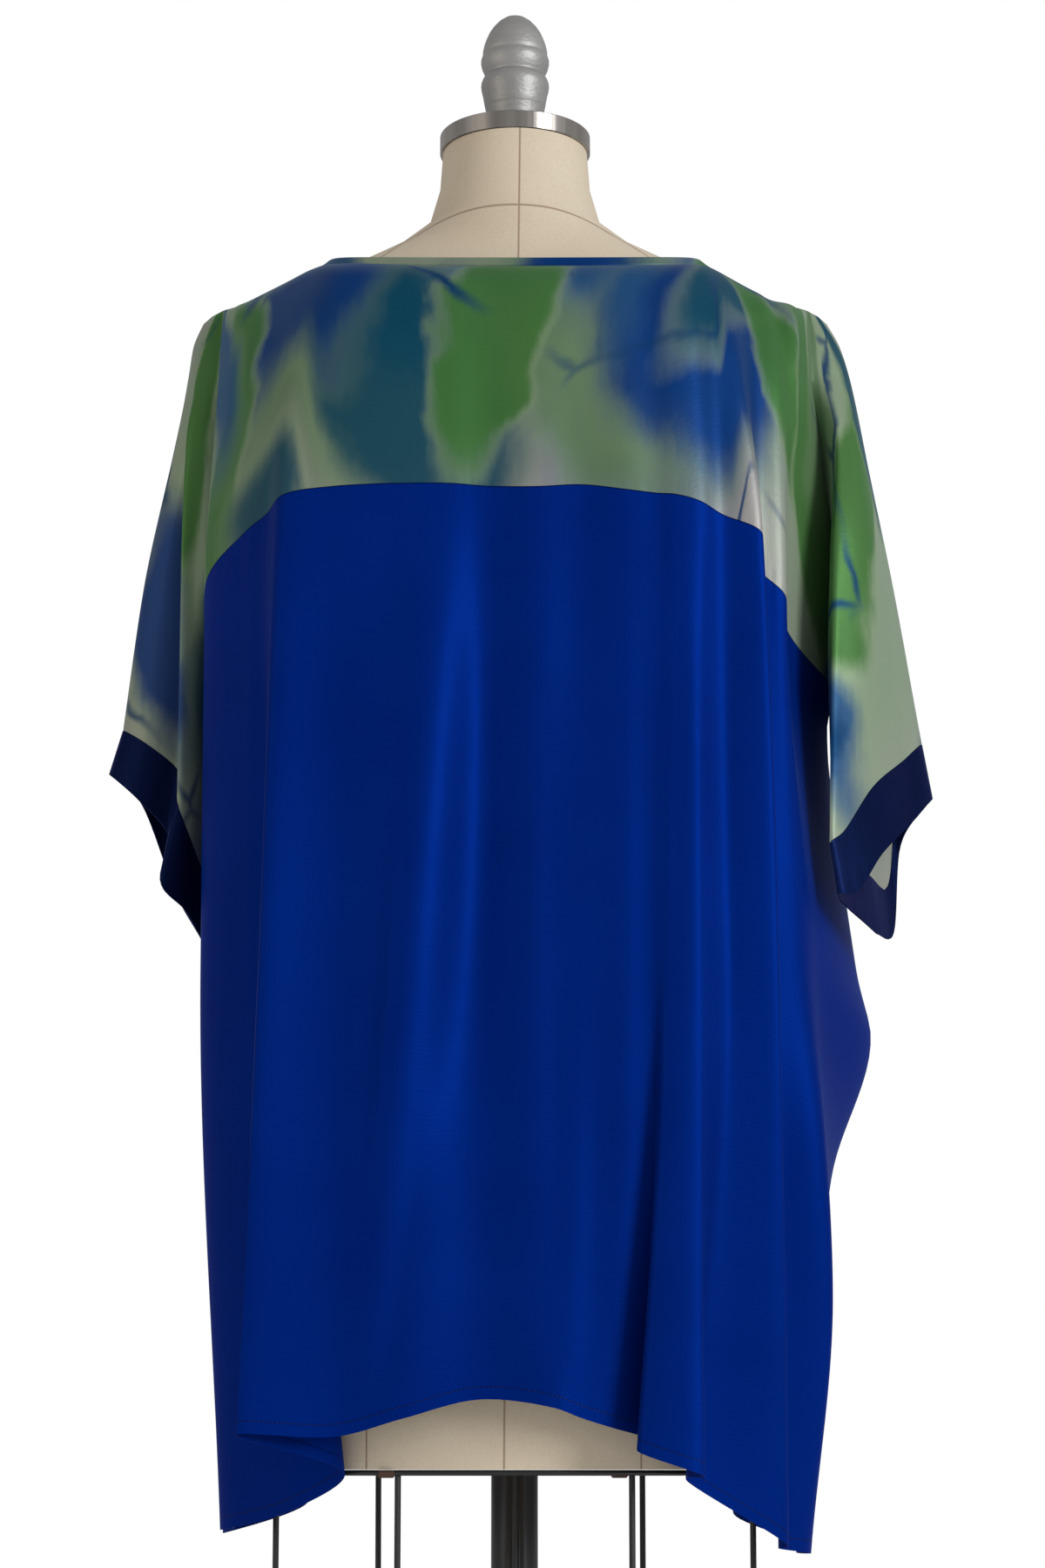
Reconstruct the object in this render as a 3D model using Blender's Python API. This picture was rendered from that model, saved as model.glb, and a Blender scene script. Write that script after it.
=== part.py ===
"""Boxy silk tunic top on a limbless dress form with its wire cage, post and round base.

Metres, +Z up.  The tunic's back faces -Y.  The origin is on the floor under the post.
Heights in the tables are millimetres above the dress form's lower rim, which stands at RIM_Z.
"""
import math
from collections import namedtuple

import bmesh
import bpy
from mathutils import Vector
from mathutils.bvhtree import BVHTree

# ---------------------------------------------------------------- driving dimensions
RIM_Z = 0.700           # lower rim of the torso above the floor
MM = 0.001
GAP = 0.0003            # between pieces that touch or are sewn together
CLOTH = 0.0015          # thickness of the silk with its seam allowances
BAND = 0.0020           # thickness of the doubled neck binding
CLEAR = 0.0004          # least gap from the cloth's inner face to the torso
BINDING_WIDTH = 0.0085
NECK_END_X = 140        # half the width of the boat neck at its seam, mm
NECK_BACK_Y = -91       # how far the neckline dips behind the shoulder line, mm
NECK_FRONT_Y = 84
NECK_BACK_Z = 804       # height of the neckline seam at centre back, mm
NECK_FRONT_Z = 780
NECK_SQUARENESS = 2.5   # superellipse exponent of the neckline in plan
NECK_DROP_POWER = 1.6   # above 1 the neckline stays high for longer near its ends
WAIST_Z = 330           # height at which the tables give the waist points, mm
SHOULDER_CURVE = ((0.04, 0.30), (0.12, 0.54), (0.42, 0.84))     # share of the drop, share of the depth
ARMPIT_DROP = 30        # below the underarm point body and sleeve part by this much over this drop, mm
ARMPIT_SPREAD = 5
UNDERARM_INSET = 0.0060         # each sheet's corner stops this far short of the underarm point
UNDERARM_THIN = 0.2             # and its wall narrows there; this share of the wall to each side
CAP_Z = 748             # rounded cap of the sleeve just below the shoulder's tip, mm
CAP_IN_X = 206
CAP_OUT_X = {-1: 229, 1: 235}     # left and right sleeve
CAP_DEPTH = 22
TIP_DROP = 0.40          # share of the way down from the ridge to the cap, where the sleeve rounds out
TIP_SWELL = 2.6
YOKE_ROWS = 8           # grid rows down the yoke, the sleeve's lower end and the body
SLEEVE_ROWS = 3
BODY_ROWS = 13
CUFF_ROWS = 2

RING_RADIUS = 0.0532    # steel ring round the neck
RING_DEPTH = 1.06       # its depth against its width
RING_LOW_Z = RIM_Z + 0.9163
RING_HEIGHT = 0.0125
RING_LIP = 0.0008
POST_RADIUS = 0.0155
BASE_RADIUS = 0.215
BASE_THICK = 0.024
BASE_BEVEL = 0.012
HOOP_Z = RIM_Z - 0.215  # lower hoop of the wire cage
HOOP_HALF = (0.158, 0.118)
HOOP_WIRE = 0.003
ROD_RADIUS = 0.0021
BRACKET = (0.0105, 0.009, 0.005)
BRACKET_Y = -0.104
BRACKETS = (("left", -0.0815), ("right", 0.0670))

COBALT = (0.004, 0.030, 0.260)
DYED_SILK = (0.060, 0.190, 0.170)
NAVY = (0.010, 0.016, 0.075)
LINEN = (0.560, 0.480, 0.370)
STEEL = (0.550, 0.530, 0.500)
CAST_GREY = (0.330, 0.340, 0.350)
BLACK = (0.012, 0.012, 0.013)
BRONZE = (0.120, 0.075, 0.050)

# ---------------------------------------------------------------- tables of the drape
# One row for each ridge or valley line of the cloth, left to right as seen from behind.
# cells: grid columns up to the next row.  All other columns are millimetres.
Drape = namedtuple("Drape", "name cells top_x seam_x seam_y seam_z waist_x waist_y hem_x hem_y hem_z")
BACK = [
    Drape("side_left",     2, -205, -200,   -2, 528, -193,    4, -186,    8,  -38),
    Drape("crest_left",    3, -201, -210,  -54, 590, -210,  -42, -193,  -20,  -39),
    Drape("panel_left",    3, -182, -180,  -98, 616, -172,  -92, -146,  -70,  -27),
    Drape("valley_left",   3, -162, -164, -117, 624, -144, -112, -108, -103,   -3),
    Drape("fold_left",     3, -140, -153, -134, 632, -162, -150, -174, -154,   21),
    Drape("lee_left",      3, -118, -120, -141, 636, -112, -146, -112, -148,   20),
    Drape("ridge_left",    2,  -50,  -46, -142, 638,  -58, -160,  -70, -153,   31),
    Drape("valley_centre", 2,  -18,  -18, -138, 637,  -20, -143,  -22, -146,   43),
    Drape("swell_centre",  2,   15,   15, -141, 636,   18, -151,   24, -150,   38),
    Drape("valley_right",  2,   44,   45, -138, 638,   46, -143,   44, -144,   31),
    Drape("ridge_right",   2,   72,   74, -141, 634,   72, -147,   64, -138,   25),
    Drape("tuck_in",       2,   90,   94, -139, 632,   92, -142,   92, -125,   17),
    Drape("tuck_edge",     2,  102,  106, -140, 631,  101, -148,   77, -158,   11),
    Drape("fold_inner",    2,  118,  122, -138, 627,  121, -153,  118, -160,   -4),
    Drape("hollow_inner",  3,  128,  137, -130, 620,  138, -132,  109, -122,   -7),
    Drape("fold_mid",      3,  140,  163, -129, 608,  172, -131,  175,  -88,  -48),
    Drape("hollow_mid",    2,  162,  161, -108, 590,  166, -111,  170,  -72,  -50),
    Drape("fold_outer",    3,  180,  180, -101, 572,  189,  -96,  190,  -50,  -53),
    Drape("hollow_outer",  3,  197,  181,  -82, 556,  202,  -68,  193,  -34,  -54),
    Drape("side_right",    0,  205,  219,  -10, 528,  235,   26,  186,   -8,  -54),
]
FRONT = [
    Drape("side_left",     3, -205, -200,   -2, 528, -193,    4, -186,    8,  -38),
    Drape("crest_left",    3, -199, -197,   50, 585, -211,   42, -195,   32,  -42),
    Drape("hollow_left",   3, -180, -172,   88, 612, -158,   92, -142,   86,  -22),
    Drape("fold_left",     3, -140, -148,  124, 634, -166,  136, -172,  140,    0),
    Drape("lee_left",      3, -116, -120,  142, 646, -112,  138, -106,  132,   12),
    Drape("bust_left",     3,  -84,  -86,  160, 658,  -80,  168,  -86,  170,   30),
    Drape("valley_centre", 3,  -26,  -25,  152, 668,  -28,  148,  -25,  146,   40),
    Drape("swell_centre",  2,   25,   25,  154, 668,   30,  160,   38,  164,   38),
    Drape("valley_right",  2,   58,   60,  154, 664,   62,  150,   66,  146,   30),
    Drape("bust_right",    3,   88,   92,  160, 658,   92,  170,  100,  172,   22),
    Drape("lee_right",     3,  116,  124,  140, 645,  118,  136,  112,  128,    5),
    Drape("fold_right",    3,  140,  152,  122, 630,  172,  132,  170,  132,  -12),
    Drape("hollow_right",  3,  180,  180,   88, 600,  178,   92,  150,   84,  -30),
    Drape("crest_right",   3,  199,  206,   48, 570,  232,   62,  196,   34,  -50),
    Drape("side_right",    0,  205,  219,  -10, 528,  235,   26,  186,   -8,  -54),
]
# Extra points that lines of the right side pass between waist and hem, where the cloth billows.
Bend = namedtuple("Bend", "face name x y z")
BENDS = [
    Bend("back",  "fold_outer",   199, -94, 220),
    Bend("back",  "fold_outer",   205, -80, 110),
    Bend("back",  "hollow_outer", 204, -64, 220),
    Bend("back",  "hollow_outer", 205, -58, 110),
    Bend("back",  "side_right",   244,  28, 292),
    Bend("back",  "side_right",   213,  14, 190),
    Bend("back",  "side_right",   205,   4, 110),
    Bend("front", "crest_right",  234,  60, 292),
    Bend("front", "crest_right",  212,  50, 190),
]
# The sleeves hang from the shoulder tip.  Rows run from the underarm line out to the overarm seam.
# x/y at 700 and 600 mm, the cuff seam, and the mouth's edge.
Hang = namedtuple("Hang", "name cells top_x high_x high_y low_x low_y cuff_x cuff_y cuff_z rim_x rim_y rim_z")
LEFT_BACK = [
    Hang("underarm",   1, -205, -204, -24, -203, -26, -212,   4, 396, -214,   4, 356),
    Hang("lobe_near",  2, -208, -217, -27, -219, -24, -220, -20, 420, -223, -20, 372),
    Hang("lobe_crest", 2, -210, -227, -24, -229, -26, -229, -26, 446, -239, -28, 388),
    Hang("valley",     2, -212, -225,  -6, -224,   0, -230,  -6, 470, -237,  -9, 426),
    Hang("outer",      2, -215, -232,   0, -243,   0, -251, -10, 488, -258, -13, 450),
    Hang("overarm",    0, -219, -239,   8, -259,  12, -270,   4, 501, -279,   4, 470),
]
LEFT_FRONT = [
    Hang("underarm",   2, -205, -204,  26, -203,  20, -212,   4, 396, -214,   4, 356),
    Hang("mid",        3, -210, -222,  34, -230,  40, -235,  44, 434, -237,  46, 396),
    Hang("outer",      3, -215, -232,  26, -246,  36, -255,  32, 492, -261,  32, 457),
    Hang("overarm",    0, -219, -239,   8, -259,  12, -270,   4, 501, -279,   4, 470),
]
RIGHT_BACK = [
    Hang("underarm",   1,  205,  211, -26,  221, -21,  240, -22, 396,  245, -20, 356),
    Hang("near_edge",  1,  208,  221, -46,  214, -78,  209, -82, 408,  214, -80, 374),
    Hang("near_turn",  2,  210,  226, -44,  222, -77,  218, -77, 416,  226, -74, 376),
    Hang("near_panel", 2,  212,  234, -40,  240, -64,  240, -58, 450,  246, -56, 405),
    Hang("outer",      2,  215,  241, -20,  254, -30,  264, -26, 474,  270, -24, 432),
    Hang("overarm",    0,  219,  243,   0,  262,   0,  280,   0, 490,  287,   4, 453),
]
RIGHT_FRONT = [
    Hang("underarm",   2,  205,  211,  26,  221,  21,  240, -22, 396,  245, -20, 356),
    Hang("lip",        3,  209,  228,  38,  238,  42,  256,  16, 394,  258,   6, 358),
    Hang("outer",      3,  214,  239,  30,  252,  36,  267,  31, 466,  269,  28, 430),
    Hang("overarm",    0,  219,  243,   0,  262,   0,  280,   0, 490,  287,   4, 453),
]
Section = namedtuple("Section", "z half_width back front squareness")
TORSO = [
    Section(  0, 164, 116, 106, 2.3),
    Section( 60, 170, 122, 114, 2.3),
    Section(120, 171, 122, 116, 2.3),
    Section(200, 158, 108, 114, 2.2),
    Section(270, 140,  94, 108, 2.2),
    Section(330, 133,  89, 105, 2.2),
    Section(400, 139,  96, 112, 2.2),
    Section(480, 152, 107, 132, 2.2),
    Section(550, 162, 114, 146, 2.2),
    Section(610, 167, 118, 140, 2.2),
    Section(680, 170, 118, 116, 2.3),
    Section(740, 176, 110,  92, 2.3),
    Section(778, 184,  97,  74, 2.1),
    Section(796, 190,  86,  62, 1.9),
    Section(808, 172,  77,  56, 1.65),
    Section(821, 143,  70,  53, 1.6),
    Section(833, 115,  66,  52, 1.6),
    Section(845,  88,  65,  53, 1.75),
    Section(860,  64,  64,  54, 2.0),
    Section(888,  56,  59,  54, 2.0),
    Section(916,  52,  56,  52, 2.0),
]
TORSO_SIDES = 36
Rod = namedtuple("Rod", "name x y")
RODS = [
    Rod("rod_side_left", -158, 0),
    Rod("rod_back_left", -74, -104),
    Rod("rod_back_right", 75, -104),
    Rod("rod_side_right", 158, 0),
    Rod("rod_front_right", 88, 98),
    Rod("rod_front_left", -94, 96),
]
# The turned knob, from its seat up, metres.
FINIAL = [(0, 0), (0.0150, 0), (0.0150, 0.020), (0.0165, 0.026), (0.0205, 0.042), (0.0226, 0.050),
          (0.0228, 0.053), (0.0213, 0.0575), (0.0213, 0.0595), (0.0240, 0.064), (0.0242, 0.068),
          (0.0226, 0.078), (0.0175, 0.087), (0.0095, 0.0925), (0, 0.0938)]
POST_FOOT = [(0.034, 0), (0.034, 0.006), (0.022, 0.045), (POST_RADIUS, 0.055)]


# ---------------------------------------------------------------- small helpers
def material(name, colour, roughness, metallic=0.0):
    finish = bpy.data.materials.new(name)
    finish.use_nodes = True
    shader = finish.node_tree.nodes["Principled BSDF"]
    shader.inputs["Base Color"].default_value = (*colour, 1.0)
    shader.inputs["Roughness"].default_value = roughness
    shader.inputs["Metallic"].default_value = metallic
    return finish


def add_object(name, mesh, finish, smooth_angle=math.radians(50)):
    mesh.materials.append(finish)
    mesh.shade_smooth()
    mesh.set_sharp_from_angle(angle=smooth_angle)
    piece = bpy.data.objects.new(name, mesh)
    bpy.context.collection.objects.link(piece)
    return piece


def mesh_from_bmesh(name, bm):
    mesh = bpy.data.meshes.new(name)
    bmesh.ops.recalc_face_normals(bm, faces=bm.faces)
    bm.to_mesh(mesh)
    bm.free()
    return mesh


def lathe(name, profile, finish, sides=32, squash=1.0):
    """Turn (radius, z) pairs about Z; a radius of 0 closes the end."""
    bm = bmesh.new()
    rings = []
    for radius, z in profile:
        if radius == 0:
            rings.append([bm.verts.new((0, 0, z))])
            continue
        angles = [2 * math.pi * i / sides for i in range(sides)]
        ring = [(radius * math.cos(a), squash * radius * math.sin(a), z) for a in angles]
        rings.append([bm.verts.new(point) for point in ring])
    for low, high in zip(rings, rings[1:]):
        for i in range(sides):
            j = (i + 1) % sides
            corners = [low[i % len(low)], low[j % len(low)]]
            corners += [high[j % len(high)], high[i % len(high)]]
            bm.faces.new(list(dict.fromkeys(corners)))
    return add_object(name, mesh_from_bmesh(name, bm), finish)


def box(name, size, centre, finish):
    bm = bmesh.new()
    bmesh.ops.create_cube(bm, size=1.0)
    bmesh.ops.scale(bm, vec=size, verts=bm.verts)
    bmesh.ops.translate(bm, vec=centre, verts=bm.verts)
    bmesh.ops.bevel(bm, geom=bm.edges[:], offset=min(size) * 0.2, segments=1, affect="EDGES")
    return add_object(name, mesh_from_bmesh(name, bm), finish)


def spline_between(p0, p1, p2, p3, share):
    """Centripetal Catmull-Rom point between p1 and p2, which cannot loop at a tight fold."""
    knots = [0.0]
    for a, b in ((p0, p1), (p1, p2), (p2, p3)):
        knots.append(knots[-1] + max((b - a).length, 1e-5) ** 0.5)
    k0, k1, k2, k3 = knots
    t = k1 + share * (k2 - k1)
    a1 = p0.lerp(p1, (t - k0) / (k1 - k0))
    a2 = p1.lerp(p2, (t - k1) / (k2 - k1))
    a3 = p2.lerp(p3, (t - k2) / (k3 - k2))
    b1 = a1.lerp(a2, (t - k0) / (k2 - k0))
    b2 = a2.lerp(a3, (t - k1) / (k3 - k1))
    return b1.lerp(b2, (t - k1) / (k2 - k1))


def along_line(knots, z):
    """Point at height z on a hanging line through knots of falling z, without overshoot."""
    for i in range(len(knots) - 1):
        if z >= knots[i + 1].z or i == len(knots) - 2:
            break
    upper, lower = knots[i], knots[i + 1]
    run = upper.z - lower.z
    share = min(max((upper.z - z) / run, 0.0), 1.0)

    def slope(k):
        if k == 0 or k == len(knots) - 1:
            a, b = (knots[0], knots[1]) if k == 0 else (knots[-2], knots[-1])
            return (b - a) / (a.z - b.z)
        before = (knots[k] - knots[k - 1]) / (knots[k - 1].z - knots[k].z)
        after = (knots[k + 1] - knots[k]) / (knots[k].z - knots[k + 1].z)
        return Vector([2 * a * b / (a + b) if a * b > 0 else 0.0 for a, b in zip(before, after)])

    s = share
    point = (upper * (2 * s**3 - 3 * s**2 + 1) + slope(i) * run * (s**3 - 2 * s**2 + s)
             + lower * (3 * s**2 - 2 * s**3) + slope(i + 1) * run * (s**3 - s**2))
    point.z = z
    return point


# ---------------------------------------------------------------- torso and its shape
def torso_ring(section):
    points = []
    power = 2.0 / section.squareness
    for i in range(TORSO_SIDES):
        angle = 2 * math.pi * i / TORSO_SIDES
        c, s = math.cos(angle), math.sin(angle)
        depth = section.front if s > 0 else section.back
        x = section.half_width * math.copysign(abs(c) ** power, c)
        y = depth * math.copysign(abs(s) ** power, s)
        points.append(Vector((x * MM, y * MM, RIM_Z + section.z * MM)))
    return points


def build_torso(finish):
    bm = bmesh.new()
    rings = [[bm.verts.new(p) for p in torso_ring(section)] for section in TORSO]
    for low, high in zip(rings, rings[1:]):
        for i in range(TORSO_SIDES):
            j = (i + 1) % TORSO_SIDES
            bm.faces.new((low[i], low[j], high[j], high[i]))
    bm.faces.new(list(reversed(rings[0])))
    bm.faces.new(rings[-1])
    return add_object("form_torso", mesh_from_bmesh("form_torso", bm), finish)


# ---------------------------------------------------------------- lines of the drape
def ridge_height(x):
    """Height of the cloth over the shoulder's ridge at x, mm above the rim."""
    knots = [(60, 862), (95, 845), (140, 826), (180, 808.5), (205, 801.5), (213, 797), (219, 791.5)]
    distance = abs(x)
    for (x0, z0), (x1, z1) in zip(knots, knots[1:]):
        if distance <= x1:
            break
    return z0 + (z1 - z0) * (distance - x0) / (x1 - x0)


def top_point(x, face):
    """Where a line starts: on the neckline, or on the shoulder's ridge outside it."""
    if abs(x) >= NECK_END_X:
        return Vector((x, 0, ridge_height(x)))
    round_share = (1 - (abs(x) / NECK_END_X) ** NECK_SQUARENESS) ** (1 / NECK_SQUARENESS)
    depth, low = (NECK_BACK_Y, NECK_BACK_Z) if face == "back" else (NECK_FRONT_Y, NECK_FRONT_Z)
    end_z = ridge_height(NECK_END_X)
    return Vector((x, depth * round_share, end_z + (low - end_z) * round_share ** NECK_DROP_POWER))


def body_knots(row, face):
    top = top_point(row.top_x, face)
    seam = Vector((row.seam_x, row.seam_y, row.seam_z))
    knots = [top]
    for drop, reach in SHOULDER_CURVE:
        knot = top.lerp(seam, drop)
        knot.y = top.y + reach * (seam.y - top.y)
        knots.append(knot)
    knots.append(seam)
    if row.name.startswith("side"):
        inward = -math.copysign(ARMPIT_SPREAD, row.seam_x)
        knots.append(seam + Vector((inward, 0, -ARMPIT_DROP)))
    knots.append(Vector((row.waist_x, row.waist_y, WAIST_Z)))
    bends = [bend for bend in BENDS if (bend.face, bend.name) == (face, row.name)]
    knots += [Vector((bend.x, bend.y, bend.z)) for bend in bends]
    knots.append(Vector((row.hem_x, row.hem_y, row.hem_z)))
    return knots


def sleeve_knots(rows, row, underarm):
    """The sleeve line; the one at the underarm passes through the seam's crossing."""
    share = rows.index(row) / (len(rows) - 1)
    top = Vector((row.top_x, 0, ridge_height(row.top_x)))
    turn = 0.5 * math.pi * share
    side = -1 if row.top_x < 0 else 1
    face = 1 if row.high_y > 0 else -1
    cap_x = CAP_IN_X + (CAP_OUT_X[side] - CAP_IN_X) * math.sin(turn)
    shoulder = Vector((side * cap_x, face * CAP_DEPTH * math.cos(turn), CAP_Z))
    tip = top.lerp(shoulder, TIP_DROP)
    tip.x += side * TIP_SWELL * math.sin(turn)
    knots = [top, tip, shoulder, Vector((row.high_x, row.high_y, 700)), Vector((row.low_x, row.low_y, 600))]
    if row.name == "underarm":
        crossing = Vector((underarm.seam_x, underarm.seam_y, underarm.seam_z))
        knots += [crossing, crossing + Vector((side * ARMPIT_SPREAD, 0, -ARMPIT_DROP))]
    knots.append(Vector((row.cuff_x, row.cuff_y, row.cuff_z)))
    return knots


SLEEVE_SPLIT_Z = {
    "underarm": 528, "lobe_near": 535, "near_edge": 538, "near_turn": 542, "mid": 540, "lip": 540,
    "lobe_crest": 545, "near_panel": 548, "valley": 552, "outer": 556, "overarm": 560,
}


def column_points(knots, z_from, z_to, rows, ease=1.0):
    """Evenly stepped points down one line; ease above 1 packs the first steps closer."""
    steps = [(i / rows) ** ease for i in range(rows + 1)]
    return [along_line(knots, z_from + (z_to - z_from) * step) for step in steps]


def smooth_loop(columns, cells, corners=()):
    """Fill in grid columns between the table's lines with a closed spline across each level."""
    count = len(columns)
    filled = []
    for i in range(count):
        before, here, after, beyond = [columns[(i + step) % count] for step in (-1, 0, 1, 2)]
        if i in corners:
            before = [2 * a - b for a, b in zip(here, after)]
        if (i + 1) % count in corners:
            beyond = [2 * b - a for a, b in zip(here, after)]
        for cell in range(cells[i]):
            share = cell / cells[i]
            levels = zip(before, here, after, beyond)
            filled.append([spline_between(*level, share) for level in levels])
    return filled


class Cloth:
    """All sheets of the tunic as grids of shared points, so neighbours share their seams."""

    def __init__(self):
        self.points = []
        self.index = {}
        self.grids = {}
        self.underarms = []

    def vertex(self, point):
        key = tuple(round(c * 1e4) for c in point)
        if key not in self.index:
            self.index[key] = len(self.points)
            self.points.append(Vector(point))
        return self.index[key]

    def add_grid(self, name, columns):
        """columns run so that, seen from outside, the next column is on the right."""
        self.grids[name] = [[self.vertex(p) for p in column] for column in columns]

    def faces(self, name):
        grid = self.grids[name]
        for left, right in zip(grid, grid[1:]):
            for r in range(len(left) - 1):
                yield (left[r], left[r + 1], right[r + 1]), (left[r], right[r + 1], right[r])


def hang_cloth():
    """Lay out the tunic's lines and return its shared grids in table units."""
    cloth = Cloth()
    sides = {"left": (LEFT_BACK, LEFT_FRONT, BACK[0]), "right": (RIGHT_BACK, RIGHT_FRONT, BACK[-1])}
    upper, cells, corners = [], [], []

    def add_upper(knots, low_z, count):
        upper.append(column_points(knots, knots[0].z, low_z, YOKE_ROWS, 1.25))
        cells.append(count)

    def add_sleeve_half(rows, underarm, outward):
        """Sleeve lines between the underarm and overarm, in walking order, underarm left out."""
        order = rows[1:] if outward else rows[-1:0:-1]
        for row in order:
            here = rows.index(row)
            count = row.cells if outward else rows[here - 1].cells
            if outward and row is rows[-1]:
                continue
            add_upper(sleeve_knots(rows, row, underarm), SLEEVE_SPLIT_Z[row.name], count)

    def add_face(face, table, left, right, walk):
        rows = table if walk == 1 else table[::-1]
        first, last = (left, right) if walk == 1 else (right, left)
        add_sleeve_half(first[0], first[1], outward=False)
        for k, row in enumerate(rows):
            sleeve = first[0] if k == 0 else last[0]
            if k in (0, len(rows) - 1):
                knots = sleeve_knots(sleeve, sleeve[0], row)
                corners.append(len(upper))
            else:
                knots = body_knots(row, face)
            count = row.cells if walk == 1 else (rows[k + 1].cells if k + 1 < len(rows) else 0)
            if k == len(rows) - 1:
                count = sleeve[0].cells
            add_upper(knots, row.seam_z, count)
        add_sleeve_half(last[0], last[1], outward=True)

    add_face("back", BACK, (LEFT_BACK, BACK[0]), (RIGHT_BACK, BACK[-1]), 1)
    split = len(upper)
    add_face("front", FRONT, (LEFT_FRONT, BACK[0]), (RIGHT_FRONT, BACK[-1]), -1)
    filled = smooth_loop(upper, cells, corners)
    shoulder_start = sum(cells[:split])
    for k, column in enumerate(filled):
        column[0] = top_point(column[0].x, "back" if k <= shoulder_start else "front")
    starts = [sum(cells[:k]) for k in range(len(cells) + 1)]
    back_end = starts[split]
    cloth.add_grid("yoke_back", filled[:back_end + 1])
    cloth.add_grid("yoke_front", filled[back_end:] + filled[:1])
    for row in (BACK[0], BACK[-1]):
        cloth.underarms.append(cloth.vertex(Vector((row.seam_x, row.seam_y, row.seam_z))))

    def seam_row(face):
        """Last level of the yoke over the body's columns, left to right as seen from behind."""
        rows = LEFT_BACK if face == "back" else LEFT_FRONT
        table = BACK if face == "back" else FRONT
        width = sum(row.cells for row in table)
        if face == "back":
            start = sum(row.cells for row in rows)
            return [column[-1] for column in filled[start:start + width + 1]]
        start = back_end + sum(row.cells for row in RIGHT_FRONT)
        return [column[-1] for column in filled[start:start + width + 1]][::-1]

    lines = [body_knots(row, "back") for row in BACK]
    lines += [body_knots(row, "front") for row in FRONT[-2:0:-1]]
    ends = [row.hem_z for row in BACK] + [row.hem_z for row in FRONT[-2:0:-1]]
    counts = [row.cells for row in BACK[:-1]] + [row.cells for row in FRONT[-2::-1]]
    seam_knot = len(SHOULDER_CURVE) + 1
    loop = [column_points(knots, knots[seam_knot].z, end, BODY_ROWS) for knots, end in zip(lines, ends)]
    body = smooth_loop(loop, counts)
    seam = seam_row("back") + seam_row("front")[-2:0:-1]
    for column, point in zip(body, seam):
        shift = point - column[0]
        column[0] = point
        column[1] = column[1] + shift * 0.4
    width = sum(row.cells for row in BACK)
    cloth.add_grid("body_back", body[:width + 1])
    cloth.add_grid("body_front", body[width:] + body[:1])

    for side, (back, front, underarm) in sides.items():
        walk = -1 if side == "left" else 1
        order = [(row, back) for row in back] + [(row, front) for row in front[-2:0:-1]]
        columns = []
        for row, rows in order:
            knots = sleeve_knots(rows, row, underarm)
            columns.append(column_points(knots, SLEEVE_SPLIT_Z[row.name], row.cuff_z, SLEEVE_ROWS))
        counts = [row.cells for row in back[:-1]] + [row.cells for row in front[-2::-1]]
        tube = smooth_loop(columns, counts, [0])
        rims = smooth_loop([[Vector((row.rim_x, row.rim_y, row.rim_z))] for row, _ in order], counts, [0])
        start = sum(row.cells for row in LEFT_BACK) if side == "left" else sum(
            row.cells for row in LEFT_BACK) + sum(row.cells for row in BACK)
        back_width = sum(row.cells for row in back)
        for k in range(len(tube)):
            if k <= back_width:
                source = filled[start + k * walk]
            else:
                past = k - back_width
                over = back_end if side == "right" else 0
                source = filled[(over + past * walk) % len(filled)]
            shift = source[-1] - tube[k][0]
            tube[k][0] = source[-1]
            tube[k][1] = tube[k][1] + shift * 0.4
        band = []
        for column, rim in zip(tube, rims):
            band.append([column[-1].lerp(rim[0], r / CUFF_ROWS) for r in range(CUFF_ROWS + 1)])
        for name, grid in (("sleeve", tube), ("cuff", band)):
            whole = grid + grid[:1]
            back_part, front_part = whole[:back_width + 1], whole[back_width:]
            if walk == -1:
                back_part, front_part, whole = back_part[::-1], front_part[::-1], whole[::-1]
            if name == "cuff":
                cloth.add_grid("cuff_" + side, whole)
            else:
                cloth.add_grid("sleeve_back_" + side, back_part)
                cloth.add_grid("sleeve_front_" + side, front_part)

    binding, tops = [], []
    for column in filled:
        top, below = column[0], column[1]
        at_end = abs(abs(top.x) - NECK_END_X) < 0.01
        if abs(top.x) > NECK_END_X + 0.01 or (at_end and any((top - done[-1]).length < 1 for done in tops)):
            continue
        over_shoulder = (abs(top.x) / NECK_END_X) ** 10
        upright = ((top - below).normalized() + Vector((0, 0, 0.3))).normalized()
        along_ridge = Vector((-math.copysign(0.9, top.x), 0, 0.42))
        rise = upright.lerp(along_ridge, over_shoulder).normalized()
        tops.append([top])
        binding.append([top + rise * (BINDING_WIDTH / MM) * (1 - r / 2) for r in range(3)])
    cloth.add_grid("neck_binding", binding + binding[:1])
    return cloth


def settle(cloth, torso_tree, allowance):
    """Scale the points to metres and lift any that would sink into the torso."""
    for k, point in enumerate(cloth.points):
        place = Vector((point.x * MM, point.y * MM, RIM_Z + point.z * MM))
        for _ in range(3):
            near, normal, _, distance = torso_tree.find_nearest(place)
            if (place - near).dot(normal) >= allowance or distance > 0.08:
                break
            place = near + normal * allowance
        cloth.points[k] = place


def point_normals(points, triangles):
    """Normals weighted by each face's angle at the point, so both sides of a fold count alike."""
    normals = {}
    for triangle in triangles:
        a, b, c = (points[corner] for corner in triangle)
        face = (b - a).cross(c - a).normalized()
        for corner, here, left, right in zip(triangle, (a, b, c), (b, c, a), (c, a, b)):
            angle = (left - here).angle(right - here)
            normals[corner] = normals.get(corner, Vector()) + face * angle
    return {corner: normal.normalized() for corner, normal in normals.items()}


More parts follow.
